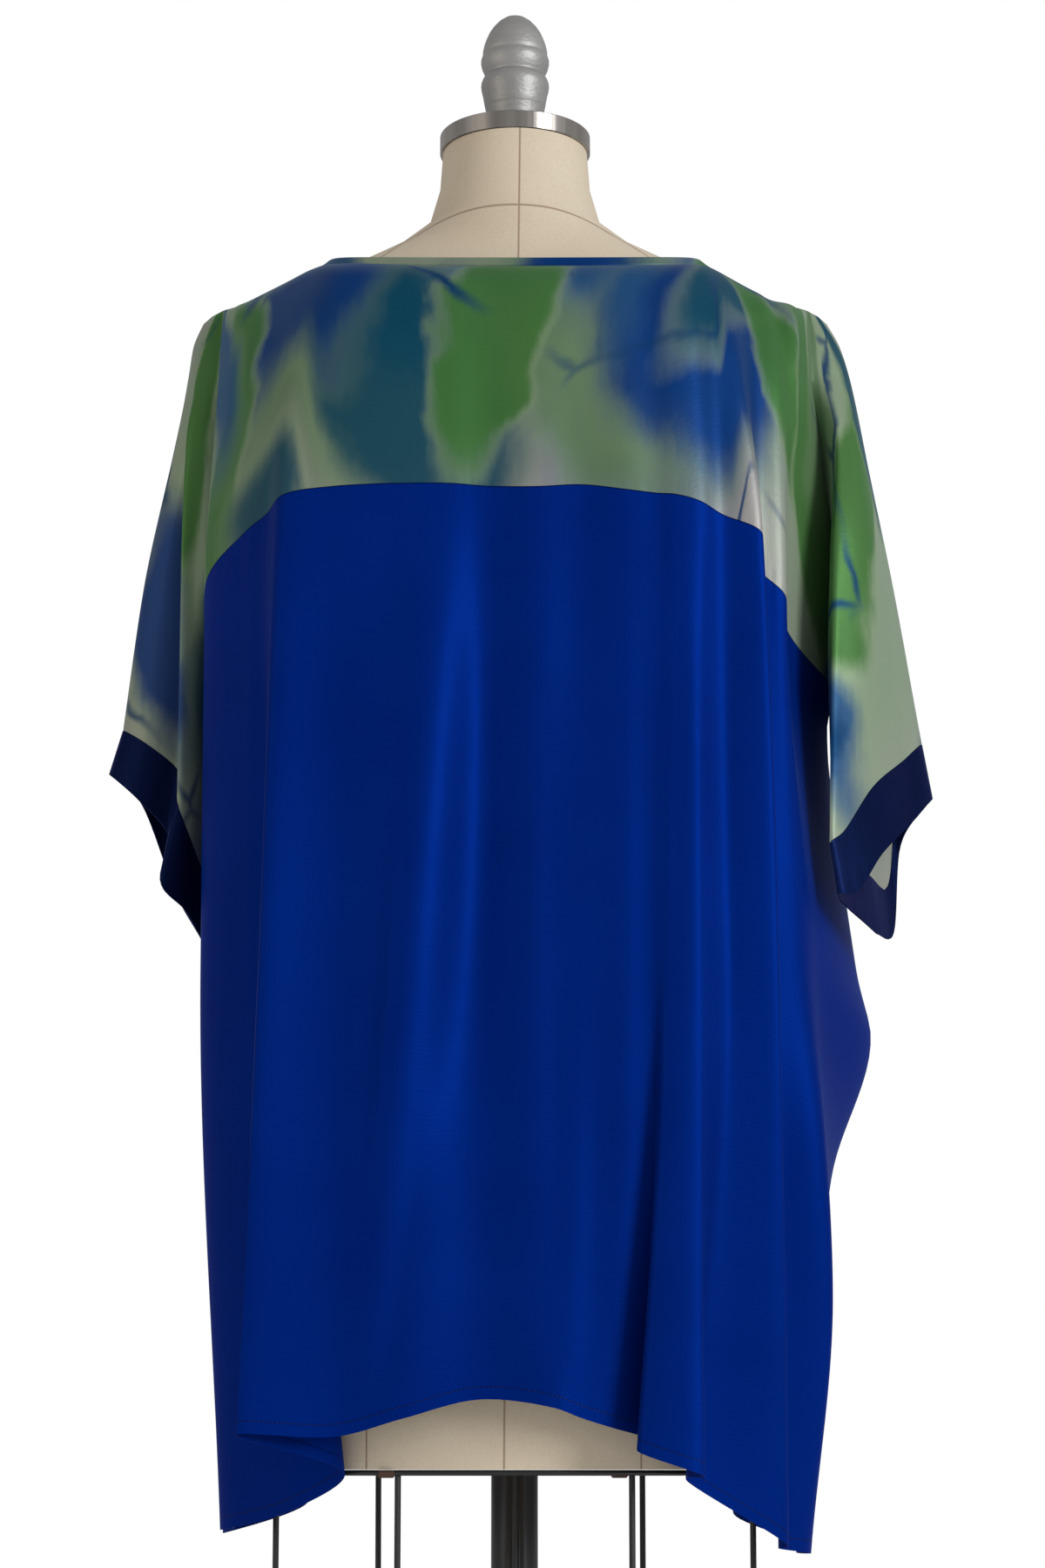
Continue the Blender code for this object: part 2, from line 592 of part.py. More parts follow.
def sew_solid(name, cloth, normals, grid_names, thickness, finish):
    """Close one piece's grids into a wall, its edges drawn in by half the gap at the seams."""
    triangles = [face for grid in grid_names for pair in cloth.faces(grid) for face in pair]
    own = point_normals(cloth.points, triangles)
    normals = dict(normals)
    for column in cloth.grids[grid_names[0]]:
        for corner, beside in ((column[-1], column[-2]), (column[0], column[1])):
            if corner in cloth.underarms:
                normals[corner] = normals[beside].lerp(own[corner], 0.25).normalized()
    edges = {}
    for face in triangles:
        for a, b in zip(face, face[1:] + face[:1]):
            edges[(a, b)] = face
    border = [edge for edge in edges if (edge[1], edge[0]) not in edges]
    inward = {}
    for a, b in border:
        p, q, r = (cloth.points[corner] for corner in edges[(a, b)])
        pull = (q - p).cross(r - p).normalized().cross(cloth.points[b] - cloth.points[a]).normalized()
        for corner in (a, b):
            inward.setdefault(corner, []).append(pull)
    used = sorted({corner for face in triangles for corner in face})
    bm = bmesh.new()
    outer, inner = {}, {}
    for corner in used:
        place = cloth.points[corner].copy()
        if corner in inward:
            pull = sum(inward[corner], Vector())
            if pull.length > 1e-6:
                place += pull.normalized() * (UNDERARM_INSET if corner in cloth.underarms else GAP * 0.5)
        half = normals[corner] * thickness * (UNDERARM_THIN if corner in cloth.underarms else 0.5)
        outer[corner] = bm.verts.new(place + half)
        inner[corner] = bm.verts.new(place - half)
    for a, b, c in triangles:
        bm.faces.new((outer[a], outer[b], outer[c]))
        bm.faces.new((inner[c], inner[b], inner[a]))
    for a, b in border:
        if a < b:
            bm.faces.new((outer[b], outer[a], inner[a]))
            bm.faces.new((outer[b], inner[a], inner[b]))
        else:
            bm.faces.new((outer[b], outer[a], inner[b]))
            bm.faces.new((outer[a], inner[a], inner[b]))
    mesh = bpy.data.meshes.new(name)
    bm.to_mesh(mesh)
    bm.free()
    return add_object(name, mesh, finish)


def build_tunic(torso):
    dyed = material("dyed_silk", DYED_SILK, 0.5)
    cobalt = material("cobalt_silk", COBALT, 0.45)
    navy = material("navy_silk", NAVY, 0.5)
    places = [vert.co for vert in torso.data.vertices]
    tree = BVHTree.FromPolygons(places, [face.vertices for face in torso.data.polygons])
    cloth = hang_cloth()
    settle(cloth, tree, BAND * 0.5 + CLEAR)
    every_face = [face for name in cloth.grids for pair in cloth.faces(name) for face in pair]
    normals = point_normals(cloth.points, every_face)
    for k, point in enumerate(cloth.points):
        if abs(point.y) < 1e-4 and abs(point.x) > NECK_END_X * MM - 1e-4 and point.z > RIM_Z + 0.788:
            lean = math.copysign(0.42, point.x)
            normals[k] = Vector((lean, 0, 1)).normalized()
    pieces = [
        ("yoke_back", ["yoke_back", "sleeve_back_left", "sleeve_back_right"], CLOTH, dyed),
        ("yoke_front", ["yoke_front", "sleeve_front_left", "sleeve_front_right"], CLOTH, dyed),
        ("body_back", ["body_back"], CLOTH, cobalt),
        ("body_front", ["body_front"], CLOTH, cobalt),
        ("cuff_left", ["cuff_left"], CLOTH, navy),
        ("cuff_right", ["cuff_right"], CLOTH, navy),
        ("neck_binding", ["neck_binding"], BAND, dyed),
    ]
    for name, grids, thickness, finish in pieces:
        sew_solid(name, cloth, normals, grids, thickness, finish)


# ---------------------------------------------------------------- form's hardware and stand
def build_form_top(steel, grey):
    high = RING_LOW_Z + RING_HEIGHT
    lathe("neck_ring", [(0, RING_LOW_Z), (RING_RADIUS, RING_LOW_Z), (RING_RADIUS, high),
                        (RING_RADIUS - 0.003, high + RING_LIP), (0, high + RING_LIP)], steel, 40, RING_DEPTH)
    seat = high + RING_LIP + GAP
    lathe("finial", [(radius, seat + height) for radius, height in FINIAL], grey, 32)


def hoop_point(angle):
    return Vector((HOOP_HALF[0] * math.cos(angle), HOOP_HALF[1] * math.sin(angle), 0))


def build_rod(rod, finish):
    """A thin rod from the rim down to the hoop, leaning in to stand on it."""
    high, low = RIM_Z - GAP, HOOP_Z + HOOP_WIRE + GAP
    start = Vector((rod.x * MM, rod.y * MM, 0))
    foot = hoop_point(math.atan2(rod.y / HOOP_HALF[1], rod.x / HOOP_HALF[0]))
    bm = bmesh.new()
    bmesh.ops.create_cone(bm, cap_ends=True, segments=10, radius1=ROD_RADIUS, radius2=ROD_RADIUS,
                          depth=high - low)
    for vert in bm.verts:
        vert.co += (start if vert.co.z > 0 else foot) + Vector((0, 0, (high + low) / 2))
    add_object(rod.name, mesh_from_bmesh(rod.name, bm), finish)


def build_hoop(finish, around=48, sides=8):
    bm = bmesh.new()
    rings = []
    for i in range(around):
        angle = 2 * math.pi * i / around
        centre = hoop_point(angle) + Vector((0, 0, HOOP_Z))
        out = Vector((math.cos(angle) / HOOP_HALF[0], math.sin(angle) / HOOP_HALF[1], 0)).normalized()
        turns = [2 * math.pi * k / sides for k in range(sides)]
        rings.append([bm.verts.new(centre + HOOP_WIRE * (out * math.cos(t) + Vector((0, 0, math.sin(t)))))
                      for t in turns])
    for i in range(around):
        for k in range(sides):
            a, b = rings[i], rings[(i + 1) % around]
            bm.faces.new((a[k], b[k], b[(k + 1) % sides], a[(k + 1) % sides]))
    add_object("cage_hoop", mesh_from_bmesh("cage_hoop", bm), finish)


def build_stand(black, bronze):
    lathe("base_disc", [(0, 0), (BASE_RADIUS, 0), (BASE_RADIUS, BASE_THICK - BASE_BEVEL),
                        (BASE_RADIUS - BASE_BEVEL, BASE_THICK), (0, BASE_THICK)], black, 48)
    foot, top = BASE_THICK + GAP, RIM_Z - GAP
    lathe("post", [(0, foot)] + [(radius, foot + height) for radius, height in POST_FOOT]
          + [(POST_RADIUS, top), (0, top)], black, 24)
    for rod in RODS:
        build_rod(rod, black)
    build_hoop(black)
    for side, x in BRACKETS:
        box("bracket_" + side, BRACKET, (x, BRACKET_Y, RIM_Z - GAP - BRACKET[2] / 2), bronze)


# ---------------------------------------------------------------- build
for old in list(bpy.data.objects):
    bpy.data.objects.remove(old, do_unlink=True)

torso_object = build_torso(material("linen", LINEN, 0.85))
build_tunic(torso_object)
build_form_top(material("brushed_steel", STEEL, 0.25, 1.0), material("cast_grey", CAST_GREY, 0.45, 0.6))
build_stand(material("black_metal", BLACK, 0.4, 0.3), material("bronze", BRONZE, 0.4, 0.8))
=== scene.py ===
import math
from collections import namedtuple

import bmesh
import bpy
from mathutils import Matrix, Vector
from mathutils.bvhtree import BVHTree


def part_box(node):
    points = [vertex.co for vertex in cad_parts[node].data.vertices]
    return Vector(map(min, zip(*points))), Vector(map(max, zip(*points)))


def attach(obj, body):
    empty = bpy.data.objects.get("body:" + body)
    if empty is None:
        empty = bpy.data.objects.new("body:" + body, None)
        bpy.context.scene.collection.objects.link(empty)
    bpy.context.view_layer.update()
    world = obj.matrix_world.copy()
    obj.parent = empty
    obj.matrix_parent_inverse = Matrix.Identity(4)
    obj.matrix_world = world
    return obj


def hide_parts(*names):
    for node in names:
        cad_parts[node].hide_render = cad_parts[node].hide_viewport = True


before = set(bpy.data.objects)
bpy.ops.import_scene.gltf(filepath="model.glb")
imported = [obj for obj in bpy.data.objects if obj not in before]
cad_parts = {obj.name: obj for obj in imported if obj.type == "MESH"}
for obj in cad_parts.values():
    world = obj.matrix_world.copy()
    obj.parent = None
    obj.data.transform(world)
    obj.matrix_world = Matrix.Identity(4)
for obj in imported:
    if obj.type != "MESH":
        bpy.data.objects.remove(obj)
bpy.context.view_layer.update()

# ==================================================================== stand
# A round cast base, a fluted steel post and a cage of six rods on a hoop, all in satin black
# powder coat.  Two small bronze clips hold the cage to the dress form's lower rim.


def shader_material(name):
    """A new material with its node tree and its Principled shader."""
    finish = bpy.data.materials.new(name)
    finish.use_nodes = True
    return finish, finish.node_tree, finish.node_tree.nodes["Principled BSDF"]


def plug(node, **values):
    """Fill a node's inputs by name (_ for a space) or by number (i7): link sockets, set plain values."""
    for key, value in values.items():
        by_number = key[0] == "i" and key[1:].isdigit()
        socket = node.inputs[int(key[1:]) if by_number else key.replace("_", " ")]
        if isinstance(value, bpy.types.NodeSocket):
            node.id_data.links.new(value, socket)
        else:
            socket.default_value = value
    return node


def add_node(tree, kind, settings=None, **values):
    """Add a node with its settings and its inputs."""
    node = tree.nodes.new(kind)
    for key, value in (settings or {}).items():
        setattr(node, key, value)
    return plug(node, **values)


def add_noise(tree, place, scale, detail):
    """Add noise over a place and give its outputs."""
    return add_node(tree, "ShaderNodeTexNoise", Vector=place, Scale=scale, Detail=detail).outputs


def add_mix(tree, share, low, high, how="MIX"):
    """Mix two colours, each a socket or (red, green, blue), and give the result's socket."""
    low, high = ((*colour, 1) if isinstance(colour, tuple) else colour for colour in (low, high))
    settings = {"data_type": "RGBA", "blend_type": how}
    return add_node(tree, "ShaderNodeMix", settings, i0=share, i6=low, i7=high).outputs[2]


def add_range(tree, value, before=(0.0, 1.0), after=(0.0, 1.0), steps="SMOOTHSTEP"):
    """Carry a value from one range over to another and give the result's socket."""
    node = add_node(tree, "ShaderNodeMapRange", {"interpolation_type": steps}, Value=value,
                    From_Min=before[0], From_Max=before[1], To_Min=after[0], To_Max=after[1])
    return node.outputs["Result"]


def node_group(name, inputs, outputs):
    """An empty shader group: inputs with their default (None for a vector), outputs all numbers."""
    tree = bpy.data.node_groups.new(name, "ShaderNodeTree")
    for label, default in inputs.items():
        kind = "NodeSocketVector" if default is None else "NodeSocketFloat"
        socket = tree.interface.new_socket(label, in_out="INPUT", socket_type=kind)
        if default is not None:
            socket.default_value = default
    for label in outputs:
        tree.interface.new_socket(label, in_out="OUTPUT", socket_type="NodeSocketFloat")
    return tree, tree.nodes.new("NodeGroupInput").outputs, tree.nodes.new("NodeGroupOutput")


def place_group(tree, group, **values):
    """Use a shader group in a tree: fill its inputs and give its outputs."""
    return add_node(tree, "ShaderNodeGroup", {"node_tree": group}, **values).outputs


def make_mottle():
    """Fine grain and broad patches shared by the coated, cast, linen and silk surfaces."""
    tree, given, result = node_group("mottle", {"Vector": None, "Fine": 900.0, "Broad": 14.0},
                                     ["Grain", "Patches"])
    plug(result, Grain=add_noise(tree, given["Vector"], given["Fine"], 2.0)["Fac"],
         Patches=add_noise(tree, given["Vector"], given["Broad"], 4.0)["Fac"])
    return tree


mottle_group = make_mottle()


def coated_metal(name, dark, pale, rough, metallic, bump, fine=900.0, stretch=(1.0, 1.0, 1.0), broad=14.0):
    """Metal or powder coat whose colour and gloss wander a little over the surface."""
    finish, tree, shader = shader_material(name)
    place = add_node(tree, "ShaderNodeTexCoord").outputs["Object"]
    mapping = add_node(tree, "ShaderNodeMapping", Vector=place, Scale=stretch)
    grain = place_group(tree, mottle_group, Vector=mapping.outputs["Vector"], Fine=fine, Broad=broad)
    relief = add_node(tree, "ShaderNodeBump", Height=grain["Grain"], Strength=bump, Distance=0.0004)
    plug(shader, Base_Color=add_mix(tree, grain["Patches"], dark, pale), Metallic=metallic,
         Roughness=add_range(tree, grain["Patches"], after=rough, steps="LINEAR"),
         Normal=relief.outputs["Normal"])
    return finish


black_coat = coated_metal("black_powder_coat", (0.006, 0.006, 0.007), (0.014, 0.014, 0.015),
                          rough=(0.32, 0.46), metallic=0.0, bump=0.25)
bronze_clip = coated_metal("bronze_clip", (0.055, 0.030, 0.022), (0.130, 0.080, 0.060),
                           rough=(0.35, 0.5), metallic=0.8, bump=0.3)
for part_name in ("base_disc", "cage_hoop"):
    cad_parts[part_name].data.materials[0] = black_coat
for part_name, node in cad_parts.items():
    if part_name.startswith("rod_"):
        node.data.materials[0] = black_coat
    if part_name.startswith("bracket_"):
        node.data.materials[0] = bronze_clip


def finish_piece(piece, material, stands_for=()):
    """Give a piece its material, attach it to the root body and hide the CAD nodes that it stands for."""
    piece.data.materials.clear()
    piece.data.materials.append(material)
    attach(piece, "root")
    if stands_for:
        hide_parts(*stands_for)
    return piece


def link_object(name, data):
    """Put a mesh, lamp or lens into the scene as an object of its own."""
    thing = bpy.data.objects.new(name, data)
    bpy.context.collection.objects.link(thing)
    return thing


def smooth_piece(name, bm, sharp_degrees):
    """Make a smooth piece from built-up faces; edges that turn more than an angle stay sharp."""
    mesh = bpy.data.meshes.new(name)
    bm.to_mesh(mesh)
    bm.free()
    mesh.shade_smooth()
    mesh.set_sharp_from_angle(angle=math.radians(sharp_degrees))
    return link_object(name, mesh)


def new_piece(name, bm):
    """Weld built-up faces, turn them outward and make the piece."""
    bmesh.ops.remove_doubles(bm, verts=bm.verts, dist=1e-6)
    bmesh.ops.recalc_face_normals(bm, faces=bm.faces)
    return smooth_piece(name, bm, 40)


def skin_rings(bm, rings):
    """Span each ring of points and the next with faces; a ring of one point is a tip."""
    for low, high in zip(rings, rings[1:]):
        sides = max(len(low), len(high))
        for i in range(sides):
            j = (i + 1) % sides
            corners = [low[i % len(low)], low[j % len(low)], high[j % len(high)], high[i % len(high)]]
            bm.faces.new(list(dict.fromkeys(corners)))


def turned(name, profile, sides, depth=1.0, flute=None):
    """Turn (radius, z) pairs about Z; depth squashes Y, flute(angle, z) scales the radius."""
    bm = bmesh.new()
    rings = []
    for radius, z in profile:
        if radius == 0:
            rings.append([bm.verts.new((0, 0, z))])
            continue
        ring = []
        for i in range(sides):
            angle = 2 * math.pi * i / sides
            reach = radius * (flute(angle, z) if flute else 1.0)
            ring.append(bm.verts.new((reach * math.cos(angle), depth * reach * math.sin(angle), z)))
        rings.append(ring)
    skin_rings(bm, rings)
    return new_piece(name, bm)


POST_LOW, POST_HIGH = (corner[2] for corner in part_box("post"))
POST_RADIUS = 0.0155
POST_FOOT = 0.07
GROOVE_DEGREES = (258, 284, 78, 104)
GROOVE_HALF_ANGLE = 0.10
GROOVE_DEPTH = 0.10


def post_flute(angle, z):
    """Two narrow channels down each face of the post, fading out at its foot."""
    if z < POST_LOW + POST_FOOT:
        return 1.0
    turns = [(angle - math.radians(at) + math.pi) % (2 * math.pi) - math.pi for at in GROOVE_DEGREES]
    return 1.0 - GROOVE_DEPTH * sum(math.exp(-(turn / GROOVE_HALF_ANGLE) ** 2) for turn in turns)


post_foot = [(0, 0), (0.033, 0), (0.034, 0.001), (0.034, 0.005), (0.033, 0.0065), (0.0285, 0.018),
             (0.0225, 0.044), (0.0205, 0.0455)]
post_foot += [(POST_RADIUS, height) for height in (0.055, 0.069, 0.075)]
post_profile = [(radius, POST_LOW + height) for radius, height in post_foot]
post_profile += [(POST_RADIUS, POST_HIGH - 0.001), (POST_RADIUS - 0.001, POST_HIGH), (0, POST_HIGH)]
finish_piece(turned("fluted_post", post_profile, 120, flute=post_flute), black_coat, ["post"])

# ==================================================================== dress form
# A papered torso covered in tight unbleached linen, sewn in panels: one seam down the centre back,
# a princess seam each side and one round the base of the neck.  A black wire finishes its rim.
RIM_Z = 0.700
MM = 0.001
FORM_SIDES = 144
FORM_STEP = 0.006
# Levels of the torso in millimetres: height above the rim, half width, reach back and forward.
Section = namedtuple("Section", "z half_width back front squareness")
TORSO = [
    Section(  0, 164, 116, 106, 2.3),
    Section( 60, 170, 122, 114, 2.3),
    Section(120, 171, 122, 116, 2.3),
    Section(200, 158, 108, 114, 2.2),
    Section(270, 140,  94, 108, 2.2),
    Section(330, 133,  89, 105, 2.2),
    Section(400, 139,  96, 112, 2.2),
    Section(480, 152, 107, 132, 2.2),
    Section(550, 162, 114, 146, 2.2),
    Section(610, 167, 118, 140, 2.2),
    Section(680, 170, 118, 116, 2.3),
    Section(740, 176, 110,  92, 2.3),
    Section(778, 184,  97,  74, 2.1),
    Section(796, 190,  86,  62, 1.9),
    Section(808, 172,  77,  56, 1.65),
    Section(821, 143,  70,  53, 1.6),
    Section(833, 115,  66,  52, 1.6),
    Section(845,  85,  65,  53, 1.75),
    Section(860,  61,  64,  54, 2.0),
    Section(888,  53,  59,  54, 2.0),
    Section(916,  51,  56,  52, 2.0),
]


def spline_between(p0, p1, p2, p3, share):
    """Centripetal Catmull-Rom point between p1 and p2, which cannot loop at a tight fold."""
    knots = [0.0]
    for a, b in ((p0, p1), (p1, p2), (p2, p3)):
        knots.append(knots[-1] + max((b - a).length, 1e-5) ** 0.5)
    k0, k1, k2, k3 = knots
    t = k1 + share * (k2 - k1)
    a1 = p0.lerp(p1, (t - k0) / (k1 - k0))
    a2 = p1.lerp(p2, (t - k1) / (k2 - k1))
    a3 = p2.lerp(p3, (t - k2) / (k3 - k2))
    b1 = a1.lerp(a2, (t - k0) / (k2 - k0))
    b2 = a2.lerp(a3, (t - k1) / (k3 - k1))
    return b1.lerp(b2, (t - k1) / (k2 - k1))


def along_line(knots, z):
    """Point at height z on a hanging line through knots of falling z, without overshoot."""
    for i in range(len(knots) - 1):
        if z >= knots[i + 1].z or i == len(knots) - 2:
            break
    upper, lower = knots[i], knots[i + 1]
    run = upper.z - lower.z
    share = min(max((upper.z - z) / run, 0.0), 1.0)

    def slope(k):
        """How the line leans at one knot, nought in a direction that turns back there."""
        if k == 0 or k == len(knots) - 1:
            a, b = (knots[0], knots[1]) if k == 0 else (knots[-2], knots[-1])
            return (b - a) / (a.z - b.z)
        before = (knots[k] - knots[k - 1]) / (knots[k - 1].z - knots[k].z)
        after = (knots[k + 1] - knots[k]) / (knots[k].z - knots[k + 1].z)
        return Vector([2 * a * b / (a + b) if a * b > 0 else 0.0 for a, b in zip(before, after)])

    s = share
    point = (upper * (2 * s**3 - 3 * s**2 + 1) + slope(i) * run * (s**3 - 2 * s**2 + s)
             + lower * (3 * s**2 - 2 * s**3) + slope(i + 1) * run * (s**3 - s**2))
    point.z = z
    return point


def form_ring(half_width, back, front, squareness, z):
    """One level of the torso as a superellipse with its own depth front and back."""
    points = []
    power = 2.0 / squareness
    for i in range(FORM_SIDES):
        angle = 2 * math.pi * i / FORM_SIDES
        c, s = math.cos(angle), math.sin(angle)
        depth = front if s > 0 else back
        x = half_width * math.copysign(abs(c) ** power, c)
        y = depth * math.copysign(abs(s) ** power, s)
        points.append(Vector((x * MM, y * MM, RIM_Z + z * MM)))
    return points


def form_levels():
    """The torso's sections with more between them, as (half width, back, front, squareness, z)."""
    rows = [Vector(section[1:5]) for section in TORSO]
    levels = []
    for i in range(len(TORSO) - 1):
        low, high = TORSO[i], TORSO[i + 1]
        steps = max(1, round((high.z - low.z) * MM / FORM_STEP))
        for k in range(steps):
            share = k / steps
            mixed = rows[i].lerp(rows[i + 1], share)
            levels.append((*mixed, low.z + share * (high.z - low.z)))
    levels.append((*rows[-1], TORSO[-1].z))
    return levels


bm = bmesh.new()
rings = [[bm.verts.new(point) for point in form_ring(*level)] for level in form_levels()]
skin_rings(bm, rings)
bm.faces.new(list(reversed(rings[0])))
bm.faces.new(rings[-1])
linen_torso = new_piece("linen_torso", bm)


def add_math(tree, operation, *values):
    """Work out numbers, each a socket or a plain value, and give the result's socket."""
    inputs = {"i" + str(k): value for k, value in enumerate(values)}
    return add_node(tree, "ShaderNodeMath", {"operation": operation}, **inputs).outputs[0]


def add_vector_math(tree, operation, *values):
    """Work out vectors, each a socket or a plain triple, and give the result's socket."""
    inputs = {"i" + str(k): value for k, value in enumerate(values)}
    return add_node(tree, "ShaderNodeVectorMath", {"operation": operation}, **inputs).outputs[0]


def make_weave():
    """Uneven threads both ways, as a height from 0 to 1, and broad slubs."""
    tree, given, result = node_group("plain_weave", {"Vector": None, "Fine": 900.0, "Long": 90.0},
                                     ["Height", "Slub"])
    threads = []
    for across, along in (("Fine", "Long"), ("Long", "Fine")):
        scale = add_node(tree, "ShaderNodeCombineXYZ", X=given[across], Y=given[along], Z=given["Long"])
        spread = add_vector_math(tree, "MULTIPLY", given["Vector"], scale.outputs[0])
        threads.append(add_noise(tree, spread, 1.0, 1.0)["Fac"])
    plug(result, Height=add_math(tree, "MULTIPLY", add_math(tree, "ADD", *threads), 0.5), Slub=threads[1])
    return tree


weave_group = make_weave()


def make_seam_line():
    """A sewn line where a distance passes nought: 1 on the line, 0 off it."""
    tree, given, result = node_group("seam_line", {"Distance": 0.0, "Width": 0.0008}, ["Line"])
    away = add_math(tree, "ABSOLUTE", given["Distance"])
    plug(result, Line=add_range(tree, away, (0.0, given["Width"]), (1.0, 0.0)))
    return tree


seam_group = make_seam_line()


def sewn_line(tree, distance, width):
    """Draw a sewn line of a width where a distance passes nought and give its socket."""
    return place_group(tree, seam_group, Distance=distance, Width=width)["Line"]


# Seams that run up the linen, each as its lean with height and its offset across, in metres.  The
# one round the neck starts at a height behind the middle and drops towards the sides.
CENTRE_SEAM = (-0.0109, 0.0142)
SIDE_SEAMS = ((0.0, 0.0945), (0.0, -0.0810))
SIDE_SEAM_TOP = 1.50
NECK_SEAM_Z = 1.5572
NECK_SEAM_DROP = 22.0
NECK_SEAM_POWER = 2.8
SEAM_SINK = -3.0


def linen_cover():
    """Unbleached linen with slubs and the torso's sewn panel lines."""
    finish, tree, shader = shader_material("unbleached_linen")
    place = add_node(tree, "ShaderNodeTexCoord").outputs["Object"]
    x, y, z = add_node(tree, "ShaderNodeSeparateXYZ", Vector=place).outputs
    flat = add_node(tree, "ShaderNodeCombineXYZ", X=x, Y=z, Z=y).outputs["Vector"]
    weave = place_group(tree, weave_group, Vector=flat, Fine=700.0, Long=120.0)
    mottle = place_group(tree, mottle_group, Vector=place, Fine=650.0, Broad=16.0)

    def upright_seam(lean, offset, width):
        """A seam that runs up the torso, leaning a little."""
        shift = add_math(tree, "MULTIPLY_ADD", z, lean, offset)
        return sewn_line(tree, add_math(tree, "ADD", x, shift), width)

    centre = upright_seam(*CENTRE_SEAM, 0.0011)
    sides = add_math(tree, "MAXIMUM", *(upright_seam(*seam, 0.0010) for seam in SIDE_SEAMS))
    arch = add_math(tree, "POWER", add_math(tree, "ABSOLUTE", x), NECK_SEAM_POWER)
    neck_z = add_math(tree, "MULTIPLY_ADD", arch, NECK_SEAM_DROP, -NECK_SEAM_Z)
    collar = sewn_line(tree, add_math(tree, "ADD", z, neck_z), 0.0012)
    low_sides = add_math(tree, "MULTIPLY", sides, add_math(tree, "LESS_THAN", z, SIDE_SEAM_TOP))
    seams = add_math(tree, "MAXIMUM", add_math(tree, "MAXIMUM", centre, collar), low_sides)
    cover = add_mix(tree, mottle["Patches"], (0.595, 0.490, 0.360), (0.710, 0.610, 0.470))
    speck = add_range(tree, mottle["Grain"], (0.30, 0.70), (0.93, 1.0), "LINEAR")
    toned = add_mix(tree, 1.0, cover, speck, "MULTIPLY")
    sunk = add_math(tree, "MULTIPLY_ADD", seams, SEAM_SINK, weave["Height"])
    bump = add_node(tree, "ShaderNodeBump", Height=sunk, Strength=0.35, Distance=0.0004)
    plug(shader, Base_Color=add_mix(tree, seams, toned, (0.330, 0.230, 0.160)), Roughness=0.9,
         Normal=bump.outputs["Normal"], Specular_IOR_Level=0.2, Sheen_Weight=0.15, Sheen_Roughness=0.5)
    return finish


finish_piece(linen_torso, linen_cover(), ["form_torso"])

WIRE_RADIUS = 0.0019
WIRE_SIDES = 10
WIRE_INSET = 1.2
WIRE_DROP = 1.1
rim_path = form_ring(*(reach - WIRE_INSET for reach in TORSO[0][1:4]), TORSO[0].squareness, 0)
bm = bmesh.new()
wire = []
for k, point in enumerate(rim_path):
    ahead = rim_path[(k + 1) % len(rim_path)] - rim_path[k - 1]
    out = Vector((ahead.y, -ahead.x, 0)).normalized()
    turns = [2 * math.pi * s / WIRE_SIDES for s in range(WIRE_SIDES)]
    arms = [out * math.cos(turn) + Vector((0, 0, math.sin(turn) - WIRE_DROP)) for turn in turns]
    wire.append([bm.verts.new(point + WIRE_RADIUS * arm) for arm in arms])
for k, ring in enumerate(wire):
    after = wire[(k + 1) % len(wire)]
    for s in range(WIRE_SIDES):
        bm.faces.new((ring[s], after[s], after[(s + 1) % WIRE_SIDES], ring[(s + 1) % WIRE_SIDES]))
finish_piece(new_piece("rim_wire", bm), black_coat)

# -------------------------------------------------------------------- neck ring and finial
# The neck is capped by a brushed steel band.  The knob on top is turned from cast aluminium,
# with cut grooves under the dome and at the foot, left as it came off the lathe.
RING_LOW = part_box("neck_ring")[0][2]
RING_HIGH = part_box("neck_ring")[1][2]
RING_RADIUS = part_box("neck_ring")[1][0]
RING_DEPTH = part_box("neck_ring")[1][1] / RING_RADIUS
steel = coated_metal("brushed_steel", (0.20, 0.175, 0.155), (0.52, 0.49, 0.46), rough=(0.20, 0.34),
                     metallic=1.0, bump=1.0, fine=110.0, stretch=(1.0, 1.0, 0.02), broad=70.0)
ring_profile = [(0, RING_LOW), (RING_RADIUS - 0.0004, RING_LOW), (RING_RADIUS, RING_LOW + 0.0004),
                (RING_RADIUS, RING_HIGH - 0.0012), (RING_RADIUS - 0.0006, RING_HIGH - 0.0006),
                (RING_RADIUS - 0.0030, RING_HIGH), (0, RING_HIGH)]
finish_piece(turned("steel_neck_band", ring_profile, 128, RING_DEPTH), steel, ["neck_ring"])

FINIAL_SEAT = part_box("finial")[0][2]
FINIAL_PROFILE = [(0, 0), (0.0166, 0), (0.0169, 0.0008), (0.0169, 0.0050), (0.0163, 0.0058), (0.0170, 0.0066),
                  (0.0176, 0.0082), (0.0184, 0.0100), (0.0198, 0.0150), (0.0208, 0.0196), (0.0211, 0.0204),
                  (0.0209, 0.0209), (0.0213, 0.0216), (0.0221, 0.0260), (0.0228, 0.0300), (0.0238, 0.0340),
                  (0.0242, 0.0368), (0.0240, 0.0392), (0.0230, 0.0420), (0.0217, 0.0443), (0.0208, 0.0452),
                  (0.0208, 0.0458), (0.0218, 0.0470), (0.0234, 0.0505), (0.0242, 0.0540), (0.0242, 0.0565),
                  (0.0234, 0.0592), (0.0227, 0.0602), (0.0226, 0.0610), (0.0230, 0.0622), (0.0228, 0.0640),
                  (0.0219, 0.0680), (0.0205, 0.0720), (0.0184, 0.0768), (0.0155, 0.0812), (0.0118, 0.0853),
                  (0.0075, 0.0884), (0.0035, 0.0899), (0, 0.0903)]
aluminium = coated_metal("turned_aluminium", (0.240, 0.235, 0.230), (0.500, 0.490, 0.480),
                         rough=(0.42, 0.62), metallic=0.65, bump=0.9, fine=230.0, stretch=(1.0, 1.0, 2.0))
finial_profile = [(radius, FINIAL_SEAT + height) for radius, height in FINIAL_PROFILE]
finish_piece(turned("turned_finial", finial_profile, 96), aluminium, ["finial"])

